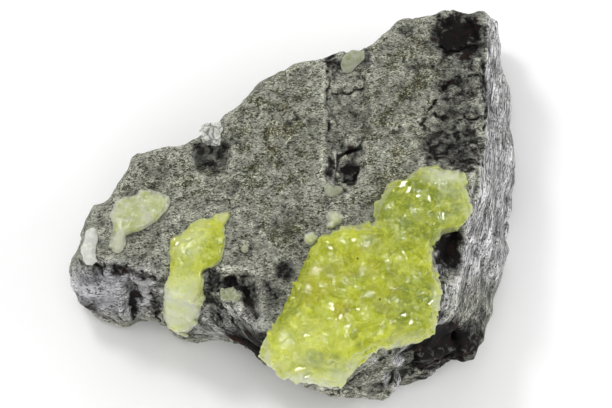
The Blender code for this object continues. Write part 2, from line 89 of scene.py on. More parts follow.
class Graph:
    """The shader nodes of a new material, with a short way to add each common kind."""

    def __init__(self, name: str, *keys: str) -> None:
        """Starts a material.

        Args:
            name: its name.
            *keys: the painted attributes that it reads.
        """
        self.material = bpy.data.materials.new(name)
        self.material.use_nodes = True
        self.tree = self.material.node_tree
        self.tree.nodes.clear()
        self.place = self.add("TexCoord", {}, "Object")
        self.masks = {key: self.add("Attribute", {}, "Fac", attribute_name=key) for key in keys}

    def add(self, kind: str, links: dict, out: object = 0, **settings) -> Socket:
        """Adds a node with its settings and links.

        Args:
            kind: the node's type, without "ShaderNode" before it.
            links: for each input, by name or number, the socket or the value that it takes.
            out: the name or number of the output that is wanted.
            **settings: the node's own settings.

        Returns:
            The wanted output socket.
        """
        made = self.tree.nodes.new("ShaderNode" + kind)
        for key, value in settings.items():
            setattr(made, key, value)
        for key, source in links.items():
            if isinstance(source, Socket):
                self.tree.links.new(source, made.inputs[key])
            else:
                made.inputs[key].default_value = source
        return made.outputs[out] if len(made.outputs) else None

    def calc(self, operation: str, *values: object) -> Socket:
        """Adds arithmetic on one to three sockets or numbers."""
        return self.add("Math", dict(enumerate(values)), operation=operation)

    def span(
        self, value: Socket, low: float, high: float, start: float = 0.0, end: float = 1.0
    ) -> Socket:
        """Turns the range from low to high into the range from start to end, and clamps it."""
        links = {"Value": value, "From Min": low, "From Max": high, "To Min": start, "To Max": end}
        return self.add("MapRange", links)

    def mix(self, share: object, first: object, second: object, blend: str = "MIX") -> Socket:
        """Mixes two colours.

        Args:
            share: how much of the second colour there is, from 0 to 1.
            first: the first colour, as a socket or sRGB hex.
            second: the second colour.
            blend: how the second colour is laid on the first.

        Returns:
            The socket with the new colour.
        """
        first, second = (linear(c) if isinstance(c, str) else c for c in (first, second))
        links = {FACTOR: share, FIRST: first, SECOND: second}
        return self.add("Mix", links, MIXED, data_type="RGBA", blend_type=blend)

    def choose(self, share: Socket, first: Socket, second: Socket) -> Socket:
        """Goes from the first number to the second as the share rises."""
        links = {FACTOR: share, FIRST_NUMBER: first, SECOND_NUMBER: second}
        return self.add("Mix", links, data_type="FLOAT")

    def noise(
        self, scale: float, detail: float, roughness: float = 0.5, distortion: float = 0.0,
        place: Socket = None, out: str = "Fac",
    ) -> Socket:
        """Adds fractal noise.

        Args:
            scale: how fine it is.
            detail: the number of finer layers.
            roughness: how strong those are.
            distortion: how twisted it is.
            place: where it is looked up, which is the place on the piece if none is given.
            out: the output that is wanted.

        Returns:
            The wanted output socket.
        """
        links = {"Vector": self.place if place is None else place, "Scale": scale, "Detail": detail,
                 "Roughness": roughness, "Distortion": distortion}
        return self.add("TexNoise", links, out)

    def tiles(self, scale: float, place: Socket) -> Socket:
        """Splits space in cells of this scale that each have their own number from 0 to 1."""
        colours = self.add("TexVoronoi", {"Vector": place, "Scale": scale}, "Color")
        return self.add("SeparateColor", {"Color": colours}, "Red")

    def stretched(self, scale: tuple, turn: tuple = (0.0, 0.0, 0.0)) -> Socket:
        """The place on the piece, turned and stretched by these scales."""
        links = {"Vector": self.place, "Rotation": turn, "Scale": scale}
        return self.add("Mapping", links, vector_type="TEXTURE")

    def bent(self, size: float, reach: float, detail: float, roughness: float) -> Socket:
        """The place on the piece, moved about by noise.

        Args:
            size: the size of the bends in millimetres.
            reach: how far it is moved, in metres.
            detail: the noise's number of finer layers.
            roughness: how strong those are.

        Returns:
            The socket with the place.
        """
        moved = self.noise(per(size), detail, roughness, out="Color")
        links = {0: moved, 1: (reach, reach, reach), 2: self.place}
        return self.add("VectorMath", links, operation="MULTIPLY_ADD")

    def bump(self, height: Socket, strength: object, rise: float, **links) -> Socket:
        """Adds a bump with this rise in millimetres, as a normal."""
        links = {"Height": height, "Strength": strength, "Distance": rise * MM, **links}
        return self.add("Bump", links, "Normal")


@dataclass(frozen=True)
class DisplayPlane:
    """The leaning plane in which places on the specimen are given."""

    lean: float = math.radians(25.0)
    origin: tuple[float, float, float] = (-0.132, 7.043, 0.0)

    @property
    def up(self) -> Vector:
        """The plane's upward direction."""
        return Vector((0.0, math.cos(self.lean), math.sin(self.lean)))

    @property
    def out(self) -> Vector:
        """The direction from the stone to the viewer."""
        return Vector((0.0, -math.sin(self.lean), math.cos(self.lean)))

    def world(self, across: float, up: float, out: float) -> Vector:
        """World position, in metres, of a point given in the plane."""
        place = Vector(self.origin) + Vector((across, 0.0, 0.0)) + self.up * up + self.out * out
        return place * MM

    def flat(self, points: Array) -> Array:
        """Across, up and out in the plane, for rows of world points in millimetres."""
        axes = np.array([(1.0, 0.0, 0.0), tuple(self.up), tuple(self.out)])
        return (points - np.array(self.origin)) @ axes.T


PLANE = DisplayPlane()
OUTWARD = np.array(PLANE.out)


class Patch(NamedTuple):
    """An oval area of the specimen, in the display plane."""

    across: float
    up: float
    half_width: float
    half_length: float
    turn: float = 0.0
    amount: float = 1.0


class Crack(NamedTuple):
    """An open crack: the points it runs through, its half width and its depth."""

    route: list
    half_width: float
    depth: float


def smooth_share(value: Array, low: float, high: float) -> Array:
    """Rises smoothly from 0 at low to 1 at high."""
    share = np.clip((value - low) / (high - low), 0.0, 1.0)
    return share * share * (3.0 - 2.0 * share)


def patch_cover(flat: Array, patches: Rows, soft: float = 0.5) -> Array:
    """How much each point is covered by the patches.

    Args:
        flat: points in the display plane.
        patches: the numbers of the areas.
        soft: the share of a patch's size over which its edge fades.

    Returns:
        For each point, the largest amount of any patch there.
    """
    cover = np.zeros(len(flat))
    for patch in (Patch(*row) for row in patches):
        turn = math.radians(patch.turn)
        dx, dy = flat[:, 0] - patch.across, flat[:, 1] - patch.up
        x = (dx * math.cos(turn) + dy * math.sin(turn)) / patch.half_width
        y = (dy * math.cos(turn) - dx * math.sin(turn)) / patch.half_length
        reach = (np.abs(x) ** OVAL + np.abs(y) ** OVAL) ** (1.0 / OVAL)
        cover = np.maximum(cover, patch.amount * smooth_share(-reach, -1.0 - soft, -1.0 + soft))
    return cover


def crack_depth(flat: Array, cracks: tuple[Crack, ...]) -> Array:
    """How deep the cracks are at each point.

    Args:
        flat: points in the display plane.
        cracks: the cracks, which have a rounded bottom.

    Returns:
        The depth at each point, in millimetres.
    """
    depth = np.zeros(len(flat))
    for crack in cracks:
        for start, end in zip(crack.route, crack.route[1:]):
            start, side = np.array(start), np.array(end) - np.array(start)
            along = np.clip((flat[:, :2] - start) @ side / (side @ side), 0.0, 1.0)
            away = np.linalg.norm(flat[:, :2] - start - along[:, None] * side, axis=1)
            here = crack.depth * np.clip(1.0 - (away / crack.half_width) ** 2, 0.0, 1.0)
            depth = np.maximum(depth, here)
    return depth


def field_noise(points: Array, size: float, shift: float = 0.0, octaves: int = 1) -> Array:
    """Smooth noise, from about -1 to 1, at each point.

    Args:
        points: positions in millimetres.
        size: the size of the features in millimetres.
        shift: moves to another part of the noise.
        octaves: how many finer layers are added.

    Returns:
        One value for each point.
    """
    moved = points / size + shift
    if octaves == 1:
        return np.array([noise.noise(place) for place in moved])
    return np.array([noise.fractal(place, 1.0, 2.0, octaves) for place in moved])


def cells(points: Array, size: float, shift: float = 0.0) -> tuple[Array, Array]:
    """The nearest cell of each point, where space is split in cells of about this size.

    Args:
        points: positions in millimetres.
        size: the spacing of the cells in millimetres.
        shift: moves to another part of the pattern.

    Returns:
        The cells' centres in millimetres, and the gap between the nearest two, from 0 to 1.
    """
    found = [noise.voronoi(place) for place in points / size + shift]
    centres = np.array([centre[0] for _, centre in found])
    gaps = np.array([distance[1] - distance[0] for distance, _ in found])
    return (centres - shift) * size, gaps


def facets(points: Array, size: float, shift: float = 0.0) -> Array:
    """Broken facets: each cell of space tilts its own way.

    Args:
        points: positions in millimetres.
        size: the facets' size in millimetres.
        shift: moves to another part of the pattern.

    Returns:
        The height of a facet at each point, from about -1 to 1.
    """
    centres, _ = cells(points, size, shift)
    tilts = np.array([noise.cell_vector(centre * SCATTERED) for centre in centres]) * 2.0 - 1.0
    return ((points - centres) / size * tilts).sum(axis=1) * 2.0


def blocks(points: Array, size: float, shift: float = 0.0) -> tuple[Array, Array]:
    """Fractured blocks of about this size.

    Args:
        points: positions in millimetres.
        size: the blocks' size in millimetres.
        shift: moves to another part of the pattern.

    Returns:
        A level from -1 to 1 that is the same all over a block, and how open the crack is, from
        0 inside a block to 1 in the crack between two.
    """
    centres, gaps = cells(points, size, shift)
    levels = np.array([noise.cell(centre * SCATTERED) for centre in centres])
    return levels, 1.0 - smooth_share(gaps, *CRACK_GAP)


class Layer(NamedTuple):
    """A layer of relief or waviness: its rise and size in millimetres, and its own pattern."""

    rise: float
    size: float
    shift: float = 0.0
    octaves: int = 1

    def noise(self, points: Array, more: float = 0.0) -> Array:
        """Smooth noise of this layer, from about minus its rise to its rise."""
        return self.rise * field_noise(points, self.size, self.shift + more, self.octaves)

    def facets(self, points: Array) -> Array:
        """Broken facets of this layer, from about minus its rise to its rise."""
        return self.rise * facets(points, self.size, self.shift)


def wander(flat: Array, points: Array, layer: Layer, step: float = 30.0) -> None:
    """Moves points about in the display plane, so that what is drawn there is ragged."""
    for axis in (0, 1):
        flat[:, axis] += layer.noise(points, step * axis)


def merged_mesh(node: str) -> bmesh.types.BMesh:
    """A merged copy of a CAD node's mesh.

    Args:
        node: the node's name.

    Returns:
        The mesh, to be freed after use.
    """
    bm = bmesh.new()
    bm.from_mesh(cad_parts[node].data)
    bmesh.ops.remove_doubles(bm, verts=bm.verts, dist=0.001 * MM)
    return bm


def make_piece(name: str, bm: bmesh.types.BMesh) -> Piece:
    """Turns a bmesh into an object at the origin.

    Args:
        name: the object's name.
        bm: its mesh, which is freed.

    Returns:
        The object.
    """
    mesh = bpy.data.meshes.new(name)
    bm.to_mesh(mesh)
    bm.free()
    piece = bpy.data.objects.new(name, mesh)
    bpy.context.scene.collection.objects.link(piece)
    return piece


def apply_modifiers(piece: Piece) -> None:
    """Gives the piece the mesh that its modifiers make of it.

    Args:
        piece: the object.
    """
    evaluated = piece.evaluated_get(bpy.context.evaluated_depsgraph_get())
    mesh = bpy.data.meshes.new_from_object(evaluated)
    piece.modifiers.clear()
    piece.data = mesh


def drop_bubbles(piece: Piece) -> None:
    """Deletes the tiny closed shells that a remesh leaves inside pinched places.

    Args:
        piece: the object, of which the largest shell is kept.
    """
    bm = bmesh.new()
    bm.from_mesh(piece.data)
    seen = [False] * len(bm.verts)
    shells = []
    for start in bm.verts:
        if seen[start.index]:
            continue
        seen[start.index] = True
        shell, front = [start], [start]
        while front:
            vert = front.pop()
            for edge in vert.link_edges:
                other = edge.other_vert(vert)
                if not seen[other.index]:
                    seen[other.index] = True
                    shell.append(other)
                    front.append(other)
        shells.append(shell)
    shells.sort(key=len)
    for shell in shells[:-1]:
        bmesh.ops.delete(bm, geom=shell, context="VERTS")
    if len(shells) > 1:
        bm.to_mesh(piece.data)
    bm.free()


def remesh(piece: Piece, voxel: float, relax: int = 0) -> None:
    """Rebuilds a piece's mesh in even small faces.

    Args:
        piece: the object.
        voxel: the size of the faces in millimetres.
        relax: how often the new mesh is smoothed.
    """
    voxels = piece.modifiers.new("Voxels", "REMESH")
    voxels.mode = "VOXEL"
    voxels.voxel_size = voxel * MM
    if relax:
        soften = piece.modifiers.new("Soften", "SMOOTH")
        soften.factor = 0.5
        soften.iterations = relax
    apply_modifiers(piece)
    drop_bubbles(piece)


def triples(items: bpy.types.bpy_prop_collection, key: str) -> Array:
    """Reads three numbers from each item.

    Args:
        items: the items, such as a mesh's vertices.
        key: what is read from each.

    Returns:
        An array with one row for each item.
    """
    values = np.empty(len(items) * 3, np.float32)
    items.foreach_get(key, values)
    return values.reshape(-1, 3).astype(float)


def positions(piece: Piece) -> Array:
    """The piece's vertices in millimetres, one row each."""
    return triples(piece.data.vertices, "co") / MM


def set_positions(piece: Piece, points: Array) -> None:
    """Moves the piece's vertices to these points in millimetres."""
    piece.data.vertices.foreach_set("co", (points * MM).astype(np.float32).ravel())
    piece.data.update()


def normals(piece: Piece) -> Array:
    """The piece's vertex normals, one row each."""
    return triples(piece.data.vertex_normals, "vector")


def spread(piece: Piece, values: Array, times: int) -> Array:
    """Averages values with those of the neighbouring vertices.

    Args:
        piece: the object.
        values: a number or a row for each vertex.
        times: how often they are averaged.

    Returns:
        The new values.
    """
    edges = np.empty(len(piece.data.edges) * 2, np.int32)
    piece.data.edges.foreach_get("vertices", edges)
    first, second = edges.reshape(-1, 2).T
    count = np.bincount(first, minlength=len(values)) + np.bincount(second, minlength=len(values))
    columns = values.reshape(len(values), -1).copy()
    for _ in range(times):
        for column in columns.T:
            total = np.bincount(first, column[second], len(values))
            total += np.bincount(second, column[first], len(values))
            column += 0.5 * (total / np.maximum(count, 1) - column)
    return columns.reshape(values.shape)


def soft_normals(piece: Piece, times: int) -> Array:
    """The piece's vertex normals, evened out over its neighbours a number of times."""
    values = spread(piece, normals(piece), times)
    return values / np.linalg.norm(values, axis=1)[:, None]


def shown_side(facing: Array) -> Array:
    """How far points with these normals are on the side that is shown, from 0 to 1."""
    return smooth_share(facing @ OUTWARD, 0.0, 0.3)


def thin_out(piece: Piece, triangles: int) -> None:
    """Merges the flattest faces of a piece.

    Args:
        piece: the object.
        triangles: about how many triangles are left.
    """
    piece.data.calc_loop_triangles()
    fewer = piece.modifiers.new("Fewer", "DECIMATE")
    fewer.ratio = min(1.0, triangles / len(piece.data.loop_triangles))
    apply_modifiers(piece)


def hollowness(piece: Piece, times: int) -> Array:
    """How far each vertex lies below the smoothed surface round it, in millimetres."""
    points = positions(piece)
    return ((spread(piece, points, times) - points) * normals(piece)).sum(axis=1)


def paint(piece: Piece, name: str, values: Array) -> None:
    """Stores an attribute for the material.

    Args:
        piece: the object.
        name: the attribute's name.
        values: a value or a direction for each vertex.
    """
    kind, key = ("FLOAT_VECTOR", "vector") if values.ndim == 2 else ("FLOAT", "value")
    attribute = piece.data.attributes.new(name, kind, "POINT")
    attribute.data.foreach_set(key, values.astype(np.float32).ravel())


def dress(piece: Piece, material: bpy.types.Material, node: str) -> None:
    """Gives a piece its finish and its place in the frame.

    Args:
        piece: the finished piece.
        material: its finish.
        node: the CAD node that it stands for.
    """
    piece.data.materials.append(material)
    piece.data.shade_smooth()
    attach(piece, BODY)
    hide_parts(node)


@dataclass(frozen=True)
class Serpentinite:
    """Massive serpentinite: matted grey-green fibres, broken rough, with black chromite.

    The felted fibres scatter light, so the rock is dull and salt-and-pepper to the eye.
    """

    name: str = "felted_serpentinite"
    grey: str = "#98998C"
    light: str = "#CDCFBF"
    dark: str = "#23231D"
    olive: str = "#62623A"
    clay: str = "#2E2912"
    # lavender-grey rock, also painted light on the right-facing flank
    lavender: str = "#C2C1C5"
    pale: str = "#E8E7E9"
    slate: str = "#454645"
    # black of chromite, also the black of painted shade in pits and recesses
    chromite: str = "#0E0A09"
    rust: str = "#3A1F19"
    fibre: float = 0.22  # width of the matted fibres; the real ones are finer than shows
    fibre_length: float = 5.0  # how many times longer than wide they are
    fibre_turns: tuple = ((0.3, 0.2, 1.0), (-0.4, 0.3, 1.5), (0.3, -0.4, 2.1))
    bed: float = 0.24  # width of the flecks along the bedding of the right flank
    bed_length: float = 15.0
    bed_turn: float = math.radians(-8.0)
    grime: float = 0.34  # olive-brown flecks of chlorite and clay between the fibres
    block: float = 4.6  # shattered blocks with hairline cracks between them
    wander: float = 2.4  # the bends in those cracks
    speck: float = 0.3  # dark grains of magnetite
    tatter: float = 1.5  # the ragged edges of the black stains
    mottle: float = 3.2
    cloud: float = 11.0

    def fibres(self, graph: Graph) -> Socket:
        """Fibres matted in three directions.

        Args:
            graph: the material's nodes.

        Returns:
            The socket with their height, from 0 to 1.
        """
        felt = None
        for turn in self.fibre_turns:
            along = graph.stretched((1.0, self.fibre_length, 1.0), turn)
            strand = graph.noise(per(self.fibre), 1.0, distortion=0.5, place=along)
            felt = strand if felt is None else graph.calc("MAXIMUM", felt, strand)
        return felt

    def flecks(self, graph: Graph) -> Socket:
        """Long flecks that run up the right flank, as a height from 0 to 1."""
        along = graph.stretched((1.0, self.bed_length, 1.0), (0.0, 0.0, self.bed_turn))
        return graph.noise(per(self.bed), 3.0, 0.62, 0.6, along)

    def hairlines(self, graph: Graph, cloud: Socket) -> Socket:
        """Hairline cracks between the shattered blocks.

        Args:
            graph: the material's nodes.
            cloud: noise that is high where the cracks are open.

        Returns:
            The socket with how open they are, from 0 to 1.
        """
        links = {"Vector": graph.bent(self.wander, 0.006, 3.0, 0.6), "Scale": per(self.block)}
        edge = graph.add("TexVoronoi", links, "Distance", feature="DISTANCE_TO_EDGE")
        edge = graph.span(edge, 0.015, 0.055, 0.9, 0.0)
        edge = graph.calc("MULTIPLY", edge, graph.span(cloud, 0.42, 0.50))
        return graph.calc("MULTIPLY", edge, graph.masks["broken"])

    def material(self) -> bpy.types.Material:
        """Builds the material.

        Returns:
            A material that reads the attributes that MatrixStone.colour paints.
        """
        graph = Graph(
            self.name, "cavity_shade_and_crest_light", "flank", "lavender", "dark", "olive", "tone", "felt", "broken"
        )
        masks, mix, span, calc = graph.masks, graph.mix, graph.span, graph.calc
        felt, flecks = self.fibres(graph), self.flecks(graph)
        mottle = graph.noise(per(self.mottle), 4.0, 0.65)
        cloud = graph.noise(per(self.cloud), 2.0)
        base = mix(masks["lavender"], self.grey, self.lavender)
        greened = calc("MULTIPLY", span(mottle, 0.46, 0.62, 0.0, 0.9), masks["olive"])
        base = mix(greened, base, self.olive)
        # Where the rock is polished by slip its fibres hardly show.
        matted = calc("MULTIPLY", span(mottle, 0.40, 0.54, 0.75), masks["felt"])
        matted = calc("MAXIMUM", matted, masks["flank"])
        strands = mix(masks["lavender"], self.light, self.pale)
        # Each pattern gives a share of pale strands and one of dark gaps.
        for colour, amount, on_face, on_flank in (
            (strands, 0.8, (0.61, 0.71), (0.50, 0.56)),
            (self.dark, 0.85, (0.57, 0.48), (0.49, 0.43)),
        ):
            ends = span(felt, *on_face), span(flecks, *on_flank)
            share = calc("MULTIPLY", graph.choose(masks["flank"], *ends), matted)
            base = mix(calc("MULTIPLY", share, amount), base, colour)
        lengthwise = graph.stretched((1.8, 1.0, 1.0))
        grime = graph.noise(per(self.grime), 3.0, 0.6, 1.6, lengthwise)
        grimy = span(mottle, 0.47, 0.62, -0.02, 0.09)
        grimy = calc("MULTIPLY_ADD", masks["olive"], 0.04, grimy)
        base = mix(span(calc("ADD", grime, grimy), 0.57, 0.64, 0.0, 0.9), base, self.clay)
        # Shattered rock crumbles, and has more black grains and gaps.
        specks = graph.tiles(per(self.speck), lengthwise)
        specks = calc("MULTIPLY_ADD", masks["broken"], 0.05, specks)
        base = mix(span(specks, 0.87, 0.93, 0.0, 0.75), base, self.dark)
        tone = span(calc("ADD", mottle, cloud), 0.7, 1.3, 0.74, 1.44)
        base = mix(1.0, base, calc("MULTIPLY", tone, masks["tone"]), "MULTIPLY")
        # Where the dark mask is weak the rock is slate grey, and only its core and its ragged gaps
        # are black. The mask holds dark rock and painted shade in pits, recesses and crevices.
        ragged = graph.noise(per(self.tatter), 5.0, 0.66, 0.5)
        slate_and_shade = calc("MULTIPLY_ADD", ragged, 1.6, masks["dark"])
        base = mix(span(slate_and_shade, 1.02, 1.5, 0.0, 0.75), base, self.slate)
        ragged = calc("ADD", masks["dark"], calc("MULTIPLY_ADD", ragged, 3.0, -1.5))
        gate = span(masks["dark"], 0.08, 0.30)
        black_and_shade = calc("MULTIPLY", span(ragged, 0.60, 0.98, 0.0, 0.97), gate)
        black = mix(span(mottle, 0.52, 0.66, 0.0, 0.5), self.chromite, self.rust)
        base = mix(black_and_shade, base, black)
        base = mix(self.hairlines(graph, cloud), base, self.chromite)
        # Painted shade dims the hollows and painted light brightens the crests.
        base = mix(1.0, base, span(masks["cavity_shade_and_crest_light"], -0.12, 0.20, 1.22, 0.12), "MULTIPLY")
        shader = graph.add("BsdfPrincipled", {
            "Base Color": base, "Roughness": span(black_and_shade, 0.0, 1.0, 0.85, 0.7), "IOR": 1.56,
            "Normal": graph.bump(graph.choose(masks["flank"], felt, flecks), 0.8, 0.35),
            "Specular IOR Level": 0.1,
        })
        graph.add("OutputMaterial", {"Surface": shader})
        return graph.material


class Hue(Enum):
    """The three hues in which the brucite grew, each with a name."""

    YELLOW = "yellow_brucite"
    PALE = "pale_brucite"
    WHITE = "white_brucite"


@dataclass(frozen=True)
class Brucite:
    """Brucite, a soft magnesium hydroxide grown as glassy skins of radiating fibres.

    Light goes some way in and comes back yellow from the thick middle and almost white from
    the thin or frosted edges, under a waxy to glassy surface that gives small bright glints.
    """

    name: str
    thin: str
    body: str
    deep: str
    amber: str
    green: str
    veil: str = "#DEE558"
    # white of frost, also the painted sheen of the steep rim
    rime_and_sheen: str = "#E8EECC"
    # black of chromite grains, also the painted shade between domes
    chromite: str = "#100D08"
    absorbed: str = "#F0EE4C"
    density: float = 120.0  # per metre
    transmission: float = 0.35
    scatter: tuple[float, float, float] = (3.0, 2.7, 0.75)  # how far light gets, in millimetres
    roughness: float = 0.25
    coat: float = 0.75
    coat_roughness: float = 0.05
    fibres: float = 2.4  # per unit of the spoke attribute
    cloud: float = 3.6
    wisp: float = 1.1
    flake: float = 2.2  # cleavage flakes inside
    flake_bend: float = 3.0

    def core(self, graph: Graph, cloud: Socket) -> Socket:
        """The colour from inside, which deepens where the skin is thick.

        Args:
            graph: the material's nodes.
            cloud: noise that clouds the colour.

        Returns:
            The socket with the colour.
        """
        mix, span, calc = graph.mix, graph.span, graph.calc
        # Cleavage flakes inside the skin are each a little lighter or darker.
        flake = graph.tiles(per(self.flake), graph.bent(self.flake_bend, 0.005, 1.0, 0.5))
        depth = calc("MULTIPLY_ADD", flake, 0.6, calc("MULTIPLY_ADD", cloud, 1.2, -0.9))
        depth = calc("ADD", depth, graph.masks["thick"])
        base = mix(span(depth, 0.10, 0.45), self.thin, self.body)
        base = mix(span(depth, 0.45, 0.95), base, self.deep)
        for key, colour in (("amber", self.amber), ("green", self.green)):
            share = calc("MULTIPLY", graph.masks[key], cloud)
            base = mix(span(share, 0.15, 0.55, 0.0, 0.9), base, colour)
        return base

    def material(self) -> bpy.types.Material:
        """Builds the material.

        Returns:
            A material that reads the attributes that BruciteGrowth paints.
        """
        graph = Graph(self.name, "thick", "frost_and_rim_sheen", "amber", "green", "seam", "grain", "sparkle")
        masks, mix, span, calc = graph.masks, graph.mix, graph.span, graph.calc
        spoke = graph.add("Attribute", {}, "Vector", attribute_name="spoke")
        fibres = graph.noise(self.fibres, 3.0, 0.6, 0.3, spoke)
        cloud = graph.noise(per(self.cloud), 5.0, 0.62, 0.8)
        grain = graph.noise(per(self.wisp), 3.0, 0.55, 1.4)
        base = self.core(graph, cloud)
        wisps = calc("ADD", fibres, grain)
        base = mix(span(wisps, 1.00, 1.22, 0.0, 0.65), base, self.veil)
        base = mix(span(wisps, 0.97, 0.76, 0.0, 0.60), base, self.deep)
        # Between two domes a pale line is painted, a painted light for the light bent at the domes'
        # borders.
        seam = calc("MULTIPLY", masks["seam"], grain)
        base = mix(span(seam, 0.20, 0.60, 0.0, 0.5), base, self.veil)
        # Frost and the painted sheen of the steep rim make the colour pale and the surface rougher.
        frosted = span(calc("MULTIPLY", masks["frost_and_rim_sheen"], cloud), 0.12, 0.60, 0.0, 0.95)
        base = mix(frosted, base, self.rime_and_sheen)
        # Black chromite grains, and painted shade in the gaps between the domes.
        base = mix(masks["grain"], base, self.chromite)
        # Cleavage faces are flat, and the skin round them is uneven with fine radiating grooves.
        uneven = span(masks["sparkle"], 0.0, 0.8, 0.4, 0.12)
        relief = graph.bump(calc("MULTIPLY_ADD", grain, 1.5, cloud), uneven, 0.16)
        shader = graph.add("BsdfPrincipled", {
            "Base Color": base, "IOR": 1.57, "Normal": relief, "Specular IOR Level": 0.15,
            "Roughness": span(frosted, 0.0, 1.0, self.roughness, self.roughness + 0.25),
            "Subsurface Weight": 1.0, "Subsurface Radius": self.scatter,
            "Subsurface Scale": MM, "Transmission Weight": self.transmission,
            "Coat Weight": self.coat, "Coat Roughness": self.coat_roughness, "Coat IOR": 1.5,
            "Coat Normal": graph.bump(fibres, uneven, 0.05, Normal=relief),
        })
        links = {"Color": linear(self.absorbed), "Density": self.density}
        inside = graph.add("VolumeAbsorption", links)
        graph.add("OutputMaterial", {"Surface": shader, "Volume": inside})
        return graph.material


BRUCITE = {
    Hue.YELLOW: Brucite(
        "botryoidal_yellow_brucite", thin="#E2EA58", body="#CAD414", deep="#A8B000",
        amber="#C4BE0A", green="#86981A",
    ),
    Hue.PALE: Brucite(
        "pale_waxy_brucite", thin="#D2D5BA", body="#C2CA90", deep="#B0BA70", amber="#C2CA90",
        green="#B3BE7E", veil="#DDE0C2", rime_and_sheen="#C6C8B8", density=40.0, transmission=0.3,
        scatter=(3.0, 2.8, 1.6), roughness=0.3, coat=0.6, coat_roughness=0.15,
    ),
    Hue.WHITE: Brucite(
        "white_sugary_brucite", thin="#D2D3CC", body="#C6C8BF", deep="#B6B9A9",
        amber="#C6C8BF", green="#B6B9A9", veil="#DEDFDA", rime_and_sheen="#D6D7D2", absorbed="#E8E8D8",
        density=15.0, transmission=0.15, scatter=(2.0, 2.0, 1.9), roughness=0.45, coat=0.3,
        coat_roughness=0.2,
    ),
}
CLEAR_BRUCITE = Brucite(
    "clear_grey_brucite", thin="#AEB39A", body="#A0A880", deep="#8E986C", amber="#A0A880",
    green="#8E986C", veil="#C8CCB4", rime_and_sheen="#B8BCA8", density=60.0, transmission=0.45,
    scatter=(3.0, 2.9, 2.0), roughness=0.3, coat=0.6, coat_roughness=0.1,
)


